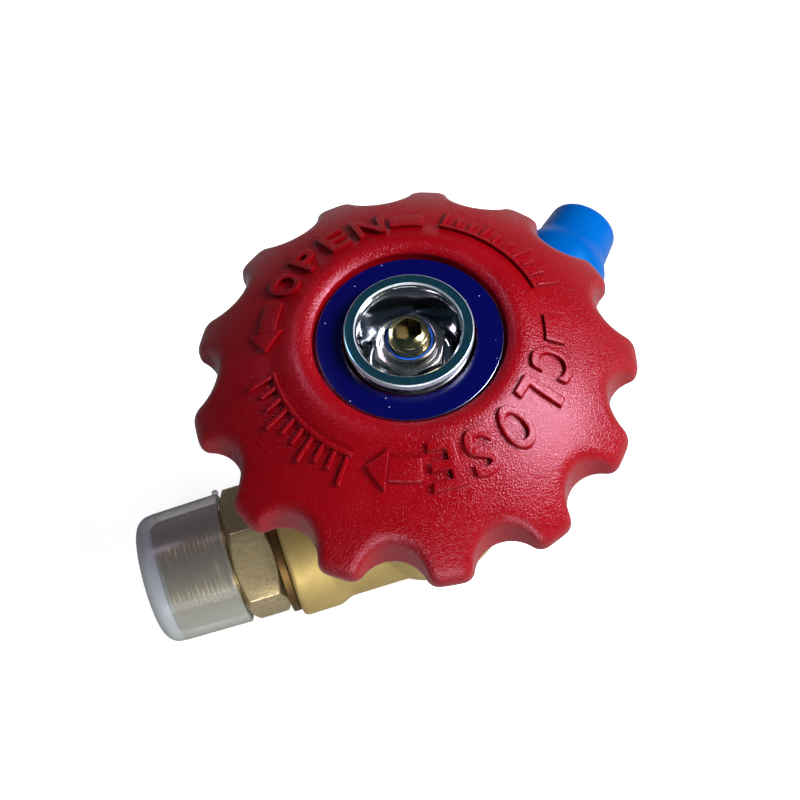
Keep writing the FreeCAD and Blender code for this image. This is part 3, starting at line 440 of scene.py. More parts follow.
def speck_group():
    """A mask of a few tiny specks of dust."""
    tree, given, put_out = group_start(
        "Dust specks",
        [
            ("Vector", "NodeSocketVector", (0, 0, 0)),
            ("Density", "NodeSocketFloat", 700.0),
            ("Size", "NodeSocketFloat", 0.09),
        ],
        [("Mask", "NodeSocketFloat")],
    )
    link = tree.links.new
    cells = tree.nodes.new("ShaderNodeTexVoronoi")
    link(given.outputs["Vector"], cells.inputs["Vector"])
    link(given.outputs["Density"], cells.inputs["Scale"])
    small = tree.nodes.new("ShaderNodeMath")
    small.operation = "LESS_THAN"
    link(cells.outputs["Distance"], small.inputs[0])
    link(given.outputs["Size"], small.inputs[1])
    rare = tree.nodes.new("ShaderNodeSeparateColor")
    link(cells.outputs["Color"], rare.inputs["Color"])
    some = tree.nodes.new("ShaderNodeMath")
    some.operation = "GREATER_THAN"
    some.inputs[1].default_value = 0.72
    link(rare.outputs["Red"], some.inputs[0])
    both = tree.nodes.new("ShaderNodeMath")
    both.operation = "MULTIPLY"
    link(small.outputs["Value"], both.inputs[0])
    link(some.outputs["Value"], both.inputs[1])
    link(both.outputs["Value"], put_out.inputs["Mask"])
    return tree


def shared_group(name, make):
    return bpy.data.node_groups.get(name) or make()


def new_material(name, **sockets):
    """A Principled material, and the places where its nodes are linked."""
    material = bpy.data.materials.new(name)
    material.use_nodes = True
    tree = material.node_tree
    shader = tree.nodes["Principled BSDF"]
    for label, value in sockets.items():
        shader.inputs[label.replace("_", " ")].default_value = value
    coordinates = tree.nodes.new("ShaderNodeTexCoord")
    return material, tree, shader, coordinates.outputs["Object"]


def add_group(tree, group, vector, **values):
    node = tree.nodes.new("ShaderNodeGroup")
    node.node_tree = group
    tree.links.new(vector, node.inputs["Vector"])
    for label, value in values.items():
        node.inputs[label.replace("_", " ")].default_value = value
    return node


def add_bump(tree, shader, height, distance, strength=1.0):
    node = tree.nodes.new("ShaderNodeBump")
    node.inputs["Strength"].default_value = strength
    node.inputs["Distance"].default_value = distance * MM
    tree.links.new(height, node.inputs["Height"])
    tree.links.new(node.outputs["Normal"], shader.inputs["Normal"])
    return node


def mix_colours(tree, factor, first, second):
    node = tree.nodes.new("ShaderNodeMix")
    node.data_type = "RGBA"
    tree.links.new(factor, node.inputs["Factor"])
    node.inputs["A"].default_value = first
    node.inputs["B"].default_value = second
    return node


def shade(colour, factor):
    return (colour[0] * factor, colour[1] * factor, colour[2] * factor, 1.0)


# Materials of the valve
def wheel_paint():
    colour = bpy.context.scene.valve_finishes.wheel_paint
    material, tree, shader, vector = new_material(
        "Red textured paint", Roughness=0.3, IOR=1.48, Specular_Tint=(1.0, 0.62, 0.85, 1.0)
    )
    coat = add_group(tree, shared_group("Pebble coat", pebble_group), vector, Grain=3600.0, Skin=9500.0)
    mix = mix_colours(tree, coat.outputs["Mottle"], shade(colour, 0.82), shade(colour, 1.1))
    tree.links.new(mix.outputs["Result"], shader.inputs["Base Color"])
    rough = map_range(tree, 0.3, 0.7, 0.17, 0.26)
    tree.links.new(coat.outputs["Mottle"], rough.inputs["Value"])
    tree.links.new(rough.outputs["Result"], shader.inputs["Roughness"])
    add_bump(tree, shader, coat.outputs["Height"], 0.032, 1.0)
    return material


def plate_enamel():
    colour = bpy.context.scene.valve_finishes.plate_blue
    material, tree, shader, vector = new_material("Dark blue enamel", Roughness=0.18, IOR=1.45)
    dust = add_group(tree, shared_group("Dust specks", speck_group), vector, Density=1000.0, Size=0.09)
    mix = mix_colours(tree, dust.outputs["Mask"], colour[:], (0.45, 0.5, 0.7, 1))
    tree.links.new(mix.outputs["Result"], shader.inputs["Base Color"])
    coat = add_group(tree, shared_group("Pebble coat", pebble_group), vector, Grain=500.0, Skin=1800.0)
    add_bump(tree, shader, coat.outputs["Height"], 0.004, 0.6)
    return material


def metal(name, bright, dull, roughness, cloud=180.0, grain=2600.0, relief=0.01, metallic=1.0):
    """A metal with cloudy tarnish and a fine grain; roughness is a pair from bright to dull."""
    material, tree, shader, vector = new_material(name, Metallic=metallic)
    tarnish = add_group(
        tree, shared_group("Tarnish", tarnish_group), vector,
        Bright=bright, Dull=dull, Cloud_Size=cloud, Grain_Size=grain,
    )
    tree.links.new(tarnish.outputs["Color"], shader.inputs["Base Color"])
    rough = map_range(tree, 0.0, 1.0, roughness[0], roughness[1])
    tree.links.new(tarnish.outputs["Cloud"], rough.inputs["Value"])
    tree.links.new(rough.outputs["Result"], shader.inputs["Roughness"])
    add_bump(tree, shader, tarnish.outputs["Height"], relief, 1.0)
    return material


def turned_brass():
    colour = bpy.context.scene.valve_finishes.brass
    return metal(
        "Turned brass", shade(colour, 1.2), shade(colour, 0.85),
        roughness=(0.3, 0.46), cloud=150.0, grain=3200.0, relief=0.01, metallic=0.8,
    )


def forged_brass():
    colour = bpy.context.scene.valve_finishes.brass
    return metal(
        "Forged brass", shade(colour, 1.2), shade(colour, 0.92),
        roughness=(0.5, 0.64), cloud=120.0, grain=1300.0, relief=0.02, metallic=0.62,
    )


def cast_brass():
    return metal(
        "Rough brass flats", (0.76, 0.62, 0.36, 1), (0.46, 0.36, 0.18, 1),
        roughness=(0.28, 0.46), cloud=900.0, grain=2400.0, relief=0.035, metallic=0.8,
    )


def bright_steel():
    return metal(
        "Bright plated steel", (0.80, 0.83, 0.88, 1), (0.62, 0.66, 0.73, 1),
        roughness=(0.05, 0.12), cloud=200.0, grain=2200.0, relief=0.001,
    )


# Painted reflection: the flange's top is tinted blue-teal to stand in for a reflected blue surround, not for
# a coloured steel
def flange_painted_reflection():
    return metal(
        "Cup flange painted reflection", (0.36, 0.98, 1.0, 1), (0.1, 0.6, 0.95, 1),
        roughness=(0.1, 0.2), cloud=900.0, grain=2600.0, relief=0.004,
    )


def plated_steel():
    return metal(
        "Plated nut steel", (0.62, 0.63, 0.62, 1), (0.4, 0.4, 0.4, 1),
        roughness=(0.16, 0.3), cloud=300.0, grain=2400.0, relief=0.004,
    )


def spring_steel():
    return metal(
        "Spring wire", (0.45, 0.46, 0.5, 1), (0.2, 0.2, 0.22, 1),
        roughness=(0.2, 0.35), cloud=400.0, grain=3000.0, relief=0.004,
    )


def stud_brass():
    return metal(
        "Bright stud brass", (0.62, 0.56, 0.3, 1), (0.4, 0.36, 0.16, 1),
        roughness=(0.14, 0.26), cloud=500.0, grain=2400.0, relief=0.004,
    )


def plastic(name, colour, roughness, deep=0.8, **sockets):
    """A moulded plastic with slight clouds and a fine skin."""
    material, tree, shader, vector = new_material(name, IOR=1.5, **sockets)
    coat = add_group(tree, shared_group("Pebble coat", pebble_group), vector, Grain=900.0, Skin=2800.0)
    mix = mix_colours(tree, coat.outputs["Mottle"], shade(colour, deep), shade(colour, 1.0))
    tree.links.new(mix.outputs["Result"], shader.inputs["Base Color"])
    rough = map_range(tree, 0.3, 0.7, roughness - 0.05, roughness + 0.05)
    tree.links.new(coat.outputs["Mottle"], rough.inputs["Value"])
    tree.links.new(rough.outputs["Result"], shader.inputs["Roughness"])
    add_bump(tree, shader, coat.outputs["Height"], 0.006, 0.6)
    return material


def cap_blue():
    colour = bpy.context.scene.valve_finishes.cap_blue
    return plastic(
        "Blue soft plastic", colour, 0.3, Specular_Tint=(0.02, 0.6, 1.0, 1.0), Specular_IOR_Level=0.25
    )


def see_through(material, head_on, aslant):
    """Lets light pass head on and turns milky at a slant, where its colour is also darkened as painted shade.
    """
    tree = material.node_tree
    facing = tree.nodes.new("ShaderNodeLayerWeight")
    facing.inputs["Blend"].default_value = 0.45
    cover = map_range(tree, 0.0, 1.0, head_on, aslant)
    tree.links.new(facing.outputs["Facing"], cover.inputs["Value"])
    shader = tree.nodes["Principled BSDF"]
    tree.links.new(cover.outputs["Result"], shader.inputs["Alpha"])
    moulded = shader.inputs["Base Color"].links[0].from_socket
    # Painted shade: the colour darkens towards a grazing view, standing in for the shade along the cap's
    # edges
    edge = mix_colours(tree, facing.outputs["Facing"], (1, 1, 1, 1), (0.3, 0.31, 0.28, 1))
    tree.links.new(moulded, edge.inputs["A"])
    tree.links.new(edge.outputs["Result"], shader.inputs["Base Color"])
    return material


def clear_plastic():
    return see_through(plastic("Translucent soft plastic", (0.66, 0.68, 0.62, 1), 0.2, 0.95), 0.26, 0.97)


def milky_plastic():
    return see_through(plastic("Milky plastic end", (0.80, 0.90, 1.0, 1), 0.35, 0.95), 0.6, 0.97)


def nylon():
    return plastic("Blue nylon", (0.01, 0.12, 0.7, 1), 0.4)


def white_seal():
    return plastic("White sealing plastic", (0.8, 0.8, 0.76, 1), 0.45)


def black_rubber():
    return plastic("Black rubber", (0.02, 0.02, 0.02, 1), 0.55)


# Dark colour of the seal rings; on the stem's key hole walls it is painted shade
def dark_seal_and_painted_hole_shade():
    return metal(
        "Dark sealing ring and painted hole shade", (0.13, 0.095, 0.045, 1), (0.04, 0.028, 0.015, 1),
        roughness=(0.35, 0.5), cloud=300.0, grain=2000.0, relief=0.01,
    )


# Painted shade: a very dark brown brass standing in for the shade in the gap between the inlet hexagon and
# the body
def painted_shade_ring_brass():
    return metal(
        "Ring brass with painted shade", (0.2, 0.12, 0.045, 1), (0.12, 0.07, 0.025, 1),
        roughness=(0.42, 0.56), cloud=300.0, grain=2000.0, relief=0.004,
    )


# Painted highlight: a pale, half-metallic colour on the flange's edges stands in for thin bright glints; the
# specks only vary it
def cup_edge_painted_highlight():
    material, tree, shader, vector = new_material("Cup edge painted highlight", Metallic=0.6, Roughness=0.3)
    dust = add_group(tree, shared_group("Dust specks", speck_group), vector, Density=1500.0, Size=0.3)
    mix = mix_colours(tree, dust.outputs["Mask"], (0.78, 0.86, 0.95, 1), (0.5, 0.6, 0.7, 1))
    tree.links.new(mix.outputs["Result"], shader.inputs["Base Color"])
    return material


def plate_edge():
    return metal(
        "Bright plate edge", (0.55, 0.6, 0.85, 1), (0.2, 0.25, 0.6, 1),
        roughness=(0.2, 0.3), cloud=600.0, grain=2000.0, relief=0.002,
    )


def shared_material(make):
    """Each finish is made once and then used again."""
    if make.__name__ not in MADE:
        MADE[make.__name__] = make()
    return MADE[make.__name__]


MADE = {}


# The handwheel
DOME_CENTRE = (4.9133, -28.4635)
DOME_RADIUS = 43.0
STEPS_A_LOBE = 40
PRESS_FROM = 24.0
SCALLOP_DRAFT = 0.13
RECESS = 14.4
RIM_INSIDE = 28.0
RIM_OUTSIDE = 34.5
SQUARE_TURNED = 3.15
SQUARE_HALF = 3.125
SQUARE_REACH = 3.2
UNDERSIDE_CENTRE = (3.45, -28.13)
UNDERSIDE_RADIUS = 40.3
UNDERSIDE_FROM = 17.75
BEAD_FOOT = 21.6
BEAD_CREST = (16.2, 13.6)
BEAD_FALL = 0.22


def dome_height(radius):
    """Height of the wheel's domed top over the rim's lower face, in millimetres."""
    return DOME_CENTRE[1] + math.sqrt(DOME_RADIUS**2 - (radius - DOME_CENTRE[0]) ** 2)


def top_height(radius):
    """Height of the wheel's top: the dome, and the bead that rises smoothly out of it."""
    crest, height = BEAD_CREST
    if radius >= BEAD_FOOT:
        return dome_height(radius)
    if radius <= crest:
        return height - BEAD_FALL * (crest - radius) ** 2
    foot, run = dome_height(BEAD_FOOT), BEAD_FOOT - crest
    share = (BEAD_FOOT - radius) / run
    slope = (BEAD_FOOT - DOME_CENTRE[0]) / (foot - DOME_CENTRE[1])
    climb = (height - foot) * (3 * share**2 - 2 * share**3)
    return foot + climb + slope * run * (share - 2 * share**2 + share**3)


def lobe_outline(share, scallop, sizes):
    """A point of the rim's outline in plan and its outward direction, at a share of one pitch."""
    mirrored = share > 0.5
    part = (1 - share if mirrored else share) * 2
    pitch = FULL_TURN / sizes["lobes"]
    away = sizes["valley"] + sizes["scallop"]
    corner, tip = sizes["corner"], sizes["tip"]
    reach = tip - corner
    angle = math.acos((reach**2 + away**2 - (scallop + corner) ** 2) / (2 * reach * away))
    centre = Vector((reach * math.cos(angle), reach * math.sin(angle)))
    middle = Vector((away, 0))
    toward = (centre - middle).normalized()
    scallop_sweep = math.pi - math.atan2(toward.y, toward.x)
    first = scallop * scallop_sweep
    corner_from = math.atan2(-toward.y, -toward.x)
    second = corner * (angle - corner_from)
    third = tip * (pitch / 2 - angle)
    run = part * (first + second + third)
    if run <= first:
        turn = math.pi - run / scallop
        out = -Vector((math.cos(turn), math.sin(turn)))
        point = middle - out * scallop
    elif run <= first + second:
        turn = corner_from + (run - first) / corner
        out = Vector((math.cos(turn), math.sin(turn)))
        point = centre + out * corner
    else:
        turn = angle + (run - first - second) / tip
        out = Vector((math.cos(turn), math.sin(turn)))
        point = out * tip
    if mirrored:
        half = pitch / 2
        point, out = reflect(point, half), reflect(out, half)
    return point, out


def reflect(vector, angle):
    """A plan vector mirrored in the line at an angle through the origin."""
    double = 2 * angle
    return Vector((
        vector.x * math.cos(double) + vector.y * math.sin(double),
        vector.x * math.sin(double) - vector.y * math.cos(double),
    ))


def bezier(first, control, last, share):
    return first.lerp(control, share).lerp(control.lerp(last, share), share)


RIM_FILLET = 7
RIM_WALL = 6
RIM_EDGE = 3
RIM_TOP = 12
RIM_FOOT = 3


def rim_column(share, sizes):
    """Points of the pressed rim at one share of a lobe, from inside its foot up to the dome."""
    height = 4.0
    for _ in range(4):
        crest, out = lobe_outline(share, sizes["scallop"] + SCALLOP_DRAFT * height, sizes)
        height = dome_height(crest.length)
    size = min(sizes["rounding"], height * 0.55)
    low, low_out = lobe_outline(share, sizes["scallop"], sizes)
    bearing = math.atan2(low.y, low.x)
    edge = 0.5
    points = []
    start = Vector((RIM_INSIDE * math.cos(bearing), RIM_INSIDE * math.sin(bearing)))
    foot = low - low_out * edge
    for step in range(1, RIM_FOOT + 1):
        spot = start.lerp(foot, step / (RIM_FOOT + 1))
        points.append(Vector((spot.x, spot.y, 0)))
    lifted, _ = lobe_outline(share, sizes["scallop"] + SCALLOP_DRAFT * edge, sizes)
    edge_from, edge_by = Vector((foot.x, foot.y, 0)), Vector((low.x, low.y, 0))
    edge_to = Vector((lifted.x, lifted.y, edge))
    for step in range(RIM_EDGE + 1):
        points.append(bezier(edge_from, edge_by, edge_to, step / RIM_EDGE))
    wall_top = height - size
    for step in range(1, RIM_WALL):
        level = edge + (wall_top - edge) * step / RIM_WALL
        spot, _ = lobe_outline(share, sizes["scallop"] + SCALLOP_DRAFT * level, sizes)
        points.append(Vector((spot.x, spot.y, level)))
    side, _ = lobe_outline(share, sizes["scallop"] + SCALLOP_DRAFT * wall_top, sizes)
    inset = crest - out * size
    upper = Vector((inset.x, inset.y, dome_height(inset.length)))
    fillet_from, fillet_by = Vector((side.x, side.y, wall_top)), Vector((crest.x, crest.y, height))
    for step in range(RIM_FILLET + 1):
        points.append(bezier(fillet_from, fillet_by, upper, step / RIM_FILLET))
    inner = Vector((PRESS_FROM * math.cos(bearing), PRESS_FROM * math.sin(bearing)))
    for step in range(1, RIM_TOP):
        spot = inset.lerp(inner, step / RIM_TOP)
        points.append(Vector((spot.x, spot.y, dome_height(spot.length))))
    return bearing, points


def wheel_profile():
    """The wheel's half section: hollow, hub and recess as turned, and the rim as stations to press."""
    under = profile((
        (SQUARE_TURNED, -2.0), (12.8, -2.0, 0.8), (13.4, 9.1, 1.6), (UNDERSIDE_FROM, 9.55),
        (26.4, 5.0, UNDERSIDE_RADIUS, RIGHT), (27.4, 0.0, 0.45), (RIM_INSIDE, 0.0),
    ), closed=False)
    stations = RIM_FOOT + (RIM_EDGE + 1) + (RIM_WALL - 1) + (RIM_FILLET + 1) + (RIM_TOP - 1)
    spread = RIM_OUTSIDE - RIM_INSIDE
    rim = [
        (RIM_INSIDE + spread * min(step / 8, 1.0), 0.02 * step + 0.01)
        for step in range(1, stations + 1)
    ]
    count = round((PRESS_FROM - RECESS) / 0.3)
    reaches = [PRESS_FROM - (PRESS_FROM - RECESS) * step / count for step in range(count)]
    top = profile((
        *[(reach, top_height(reach)) for reach in reaches],
        (RECESS, top_height(RECESS), 0.3),
        (RECESS, 11.3, 0.25),
        (9.8, 11.3, 0.3),
        (9.8, 2.0, 0.6),
        (SQUARE_TURNED, 2.0),
    ), closed=False)
    return under, rim, top


def press_rim(piece, first, sizes):
    """Presses the finger scallops: each column of vertices follows the rim's outline."""
    columns = sizes["lobes"] * STEPS_A_LOBE
    pitch = FULL_TURN / sizes["lobes"]
    made = {}
    for step in range(STEPS_A_LOBE):
        made[step] = rim_column(step / STEPS_A_LOBE, sizes)
    stations = piece.data.attributes["station"].data
    for vertex in piece.data.vertices:
        station = stations[vertex.index].value
        angle = math.atan2(vertex.co.y, vertex.co.x) % FULL_TURN
        column = round(angle / FULL_TURN * columns) % columns
        lobe, step = divmod(column, STEPS_A_LOBE)
        bearing, points = made[step]
        turn = lobe * pitch
        if first <= station < first + len(points):
            spot = points[station - first]
            vertex.co = Vector((*turn_plan(spot, turn), spot.z)) * MM
            continue
        reach = math.hypot(vertex.co.x, vertex.co.y)
        heading = bearing + turn
        if reach < SQUARE_REACH * MM:
            reach = SQUARE_HALF * MM / max(abs(math.cos(heading)), abs(math.sin(heading)))
        vertex.co.x = reach * math.cos(heading)
        vertex.co.y = reach * math.sin(heading)


def turn_plan(spot, turn):
    return (
        spot.x * math.cos(turn) - spot.y * math.sin(turn),
        spot.x * math.sin(turn) + spot.y * math.cos(turn),
    )


def rib_roof(reach):
    """How high a rib may stand, so that it ends just inside the web."""
    if reach >= 27:
        return 5.0
    run = max(reach, UNDERSIDE_FROM) - UNDERSIDE_CENTRE[0]
    return UNDERSIDE_CENTRE[1] + math.sqrt(UNDERSIDE_RADIUS**2 - run**2) + 0.5


def wheel_rib(angle):
    """One rib under the web, rounded along its edges."""
    deselect_all()
    bpy.ops.mesh.primitive_cube_add(size=MM, location=(0, 0, 0))
    rib = bpy.context.object
    low_edge, root, tip = 0.8, 12.6, 27.9
    for vertex in rib.data.vertices:
        outer, upper, side = vertex.co.x > 0, vertex.co.z > 0, vertex.co.y > 0
        height = low_edge if not upper else (5.2 if outer else 9.9)
        vertex.co = Vector((tip if outer else root, 1.0 if side else -1.0, height)) * MM
    choose(rib)
    bpy.ops.object.mode_set(mode="EDIT")
    bpy.ops.mesh.select_all(action="SELECT")
    bpy.ops.mesh.subdivide(number_cuts=6)
    bpy.ops.object.mode_set(mode="OBJECT")
    for vertex in rib.data.vertices:
        reach, level = vertex.co.x / MM, vertex.co.z / MM
        vertex.co.z = min(level, rib_roof(reach)) * MM
    bevel(rib, 0.35, 2, 40)
    rib.rotation_euler.z = angle
    bpy.ops.object.transform_apply(location=True, rotation=True, scale=True)
    return rib


def mark_stations(piece):
    """Numbers the wire's vertices, so that each can be found again after the spin."""
    attribute = piece.data.attributes.new("station", "INT", "POINT")
    for index, item in enumerate(attribute.data):
        item.value = index


class VALVE_OT_handwheel(bpy.types.Operator):
    """Turn the handwheel, press its finger scallops and set its ribs"""

    bl_idname = "valve.handwheel"
    bl_label = "Handwheel"

    def execute(self, context):
        given = context.scene.valve_wheel
        sizes = {
            "lobes": given.lobes,
            "tip": given.lobe_radius / MM,
            "valley": given.valley_radius / MM,
            "scallop": given.scallop_radius / MM,
            "corner": given.lobe_corner / MM,
            "rounding": given.rim_rounding / MM,
        }
        under, rim, top = wheel_profile()
        wheel = extruded_wire(under + rim + top, closed=True)
        mark_stations(wheel)
        choose(wheel)
        bpy.ops.object.mode_set(mode="EDIT")
        bpy.ops.mesh.select_all(action="SELECT")
        bpy.ops.mesh.spin(
            steps=given.lobes * STEPS_A_LOBE, angle=FULL_TURN, center=(0, 0, 0), axis=(0, 0, 1)
        )
        bpy.ops.mesh.select_all(action="SELECT")
        bpy.ops.mesh.remove_doubles(threshold=0.001 * MM)
        bpy.ops.object.mode_set(mode="OBJECT")
        press_rim(wheel, len(under), sizes)
        clean(wheel)
        ribs = [wheel_rib(index * FULL_TURN / 6) for index in range(6)]
        join(wheel, ribs)
        smooth(wheel, 50)
        place(wheel, WHEEL_LOW, WHEEL_CLOCKING)
        finish(wheel, "cast_handwheel", "wheel", shared_material(wheel_paint), ("handwheel",))
        return {"FINISHED"}


# Raised legends: two plain words with arrows, and plain graduation marks
def wrap_on_dome(piece, bearing, middle, sink=0.12):
    """Bends a flat piece, drawn round the origin with its top towards +Y, onto the wheel's top."""
    for vertex in piece.data.vertices:
        across, up, lift = vertex.co.x / MM, vertex.co.y / MM, vertex.co.z / MM
        radius = middle + up
        angle = bearing - across / middle
        level = top_height(radius) + lift - sink
        vertex.co = Vector((radius * math.cos(angle), radius * math.sin(angle), level + WHEEL_LOW)) * MM


def raised_letter(letter, height, width, relief):
    """One letter of a plain face as a rounded, raised mesh, fitted to a height and width."""
    deselect_all()
    bpy.ops.object.text_add(location=(0, 0, 0))
    text = bpy.context.object
    text.data.body = letter
    text.data.size = height
    text.data.extrude = relief / 2
    text.data.offset = 0.02 * MM
    text.data.bevel_depth = 0.14 * MM
    text.data.bevel_resolution = 2
    text.data.resolution_u = 8
    bpy.ops.object.convert(target="MESH")
    mesh = bpy.context.object
    corners = [Vector(corner) for corner in mesh.bound_box]
    low, high = corners[0], corners[6]
    middle = (low + high) / 2
    for vertex in mesh.data.vertices:
        vertex.co.x = (vertex.co.x - middle.x) * width / (high.x - low.x)
        vertex.co.y = (vertex.co.y - middle.y) * height / (high.y - low.y)
        vertex.co.z += relief / 2
    clean(mesh)
    return mesh


def raised_bar(start, end, width, relief, overrun=0.4 * MM):
    """A rounded raised bar between two flat points, split finely so that it can bend."""
    way = Vector(end) - Vector(start)
    deselect_all()
    bpy.ops.mesh.primitive_cube_add(size=1, location=(0, 0, 0))
    bar = bpy.context.object
    bar.scale = (way.length + overrun, width, relief)
    bpy.ops.object.transform_apply(location=True, rotation=True, scale=True)
    bevel(bar, 0.16, 3, 40)
    split_finely(bar, way.length)
    bar.rotation_euler.z = math.atan2(way.y, way.x)
    bar.location = ((start[0] + end[0]) / 2, (start[1] + end[1]) / 2, relief / 2)
    bpy.ops.object.transform_apply(location=True, rotation=True, scale=True)
    return bar


def split_finely(piece, length):
    """Splits a piece across its length, so that it can bend."""
    choose(piece)
    bpy.ops.object.mode_set(mode="EDIT")
    count = int(length / (0.8 * MM))
    for cut in range(1, count):
        bpy.ops.mesh.select_all(action="SELECT")
        bpy.ops.mesh.bisect(plane_co=(length * (cut / count - 0.5), 0, 0), plane_no=(1, 0, 0))
    bpy.ops.object.mode_set(mode="OBJECT")


def curved_line(first, last, radius, sizes, width=None):
    """A raised arc round the wheel between two bearings in degrees."""
    half = math.radians(abs(first - last) / 2) * radius * MM
    bar = raised_bar((-half, 0), (half, 0), width or sizes.stroke * 0.8, sizes.relief, 0)
    wrap_on_dome(bar, math.radians((first + last) / 2 + FRAME_TURN), radius)
    return bar


def radial_mark(bearing, inner, outer, sizes):
    """A raised line straight out from the hub."""
    half = (outer - inner) / 2 * MM
    bar = raised_bar((0, -half), (0, half), sizes.stroke * 0.8, sizes.relief)
    wrap_on_dome(bar, math.radians(bearing + FRAME_TURN), (inner + outer) / 2)
    return bar


def raised_arrow(tail, tip, radius, sizes):
    """A broad flat arrow round the wheel from its tail's bearing to its tip's."""
    run = math.radians(abs(tip - tail)) * radius
    neck = run / 2 - ARROW_HEAD
    shaft = raised_bar((-run / 2 * MM, 0), (neck * MM, 0), ARROW_SHAFT * MM, sizes.relief, 0)
    deselect_all()
    bpy.ops.mesh.primitive_cylinder_add(
        vertices=3, radius=1, depth=1, location=((neck + ARROW_HEAD / 3) * MM, 0, sizes.relief / 2),
        rotation=(0, 0, -math.pi / 2),
    )
    head = bpy.context.object
    head.scale = (ARROW_BARBS / math.sqrt(3) * MM, ARROW_HEAD / 1.5 * MM, sizes.relief)
    bpy.ops.object.transform_apply(location=True, rotation=True, scale=True)
    bevel(head, 0.16, 3, 40)
    split_finely(head, run * MM)
    join(shaft, [head])
    shaft.rotation_euler.z = math.pi if tip > tail else 0
    bpy.ops.object.transform_apply(location=True, rotation=True, scale=True)
    wrap_on_dome(shaft, math.radians((tail + tip) / 2 + FRAME_TURN), radius)
    return shaft


# Each letter: its bearing in degrees and its width in millimetres
FRAME_TURN = -16.0
OPEN_MIDDLE = 21.5
OPEN_LETTERS = (("O", 151.0, 4.3), ("P", 136.3, 3.6), ("E", 121.6, 3.9), ("N", 106.0, 4.9))
CLOSE_MIDDLE = 21.3
CLOSE_LETTERS = (
    ("C", 346.0, 4.5), ("L", 329.4, 4.0), ("O", 313.9, 4.2), ("S", 297.0, 4.0), ("E", 282.3, 4.2),
)
BAND_MIDDLE = 21.4
ARROW_SHAFT = 2.9
ARROW_HEAD = 3.2
ARROW_BARBS = 5.4
SCALES = ((22, 76), (194, 246))
SCALE_RADIUS = 20.6


def legend_word(letters, middle, height, sizes):
    made = []
    for letter, bearing, width in letters:
        mesh = raised_letter(letter, height, width * MM, sizes.relief)
        wrap_on_dome(mesh, math.radians(bearing + FRAME_TURN), middle)
        made.append(mesh)
    return made


def graduations(first, last, sizes):
    """A raised arc with plain long and short marks."""
    made = [curved_line(first, last, SCALE_RADIUS, sizes)]
    count = 10
    for index in range(count):
        bearing = first + 1.5 + (last - first - 3) * index / (count - 1)
        reach = 3.4 if index % 3 == 0 else 2.1
        made.append(radial_mark(bearing, SCALE_RADIUS + 0.6, SCALE_RADIUS + 0.6 + reach, sizes))
    return made


class VALVE_OT_legends(bpy.types.Operator):
    """Raise the two plain words, their arrows and plain marks on the wheel"""

    bl_idname = "valve.legends"
    bl_label = "Raised legends"

    def execute(self, context):
        sizes = context.scene.valve_legends
        paint = shared_material(wheel_paint)
        opening = legend_word(OPEN_LETTERS, OPEN_MIDDLE, sizes.open_height, sizes)
        opening.append(raised_arrow(160.6, 183.5, BAND_MIDDLE, sizes))
        opening.append(curved_line(83.0, 97.5, BAND_MIDDLE, sizes, ARROW_SHAFT * MM))
        self.close_up(opening, "open_legend", paint)
        closing = legend_word(CLOSE_LETTERS, CLOSE_MIDDLE, sizes.close_height, sizes)
        closing.append(raised_arrow(273.8, 252.0, BAND_MIDDLE, sizes))
        closing.append(curved_line(355.2, 368.0, BAND_MIDDLE, sizes, ARROW_SHAFT * MM))
        self.close_up(closing, "close_legend", paint)
        marks = []
        for first, last in SCALES:
            marks += graduations(first, last, sizes)
        self.close_up(marks, "graduation_marks", paint)
        return {"FINISHED"}

    def close_up(self, made, name, paint):
        join(made[0], made[1:])
        smooth(made[0], 50)
        finish(made[0], name, "wheel", paint)


# What stands in the wheel's hub
class VALVE_OT_hub_plate(bpy.types.Operator):
    """Turn the dark blue ring plate with its bright edge"""

    bl_idname = "valve.hub_plate"
    bl_label = "Hub plate"

    def execute(self, context):
        plate = ring(9.95, 13.85, 11.3, 12.3, 0.12, 160)
        place(plate, WHEEL_LOW)
        smooth(plate, 40)
        finish(plate, "ring_plate", "wheel", shared_material(plate_enamel), ("hub_plate",))
        plate.data.materials.append(shared_material(plate_edge))
        for face in plate.data.polygons:
            spot = face.center / MM
            outer = math.hypot(spot.x, spot.y) > 13.8
            if outer or (abs(face.normal.z) < 0.9 and spot.z > WHEEL_LOW + 12.1):
                face.material_index = 1
        return {"FINISHED"}


class VALVE_OT_spring_cup(bpy.types.Operator):
    """Turn the bright pressed cup that carries the lock nut"""

    bl_idname = "valve.spring_cup"
    bl_label = "Spring cup"

    def execute(self, context):
        cup = turned((
            (3.35, 4.9, 0.1),
            (5.8, 4.9),
            (7.55, 6.65, 1.8, LEFT),
            (7.9, 13.2, 0.25),
            (9.55, 13.2, 0.2),
            (9.55, 14.5, 0.25),
            (8.0, 14.5, 0.1),
            (7.9, 14.15, 0.1),
            (7.65, 13.95, 0.1),
            (7.45, 13.2, 0.3),
            (6.75, 6.7),
            (5.8, 5.8, 0.9, RIGHT),
            (3.35, 5.8, 0.1),
        ), 160)
        place(cup, WHEEL_LOW)
        smooth(cup, 30)
        finish(cup, "pressed_cup", "wheel", shared_material(bright_steel), ("spring_cup",))
        cup.data.materials.append(shared_material(cup_edge_painted_highlight))
        cup.data.materials.append(shared_material(flange_painted_reflection))
        for face in cup.data.polygons:
            reach = math.hypot(face.center.x, face.center.y) / MM
            level = face.center.z / MM - WHEEL_LOW
            slanted = 0.15 < face.normal.z < 0.97
            flange_side = level > 13.0 and reach > 9.5
            at_an_edge = reach > 9.3 or 7.88 < reach < 8.1
            # The flange's outer side and the rounded corners of its top get the painted highlight
            if flange_side or (level > 13.8 and slanted and at_an_edge):
                face.material_index = 1
            # The flange's top face gets the painted blue reflection
            elif level > 14.4:
                face.material_index = 2
        return {"FINISHED"}


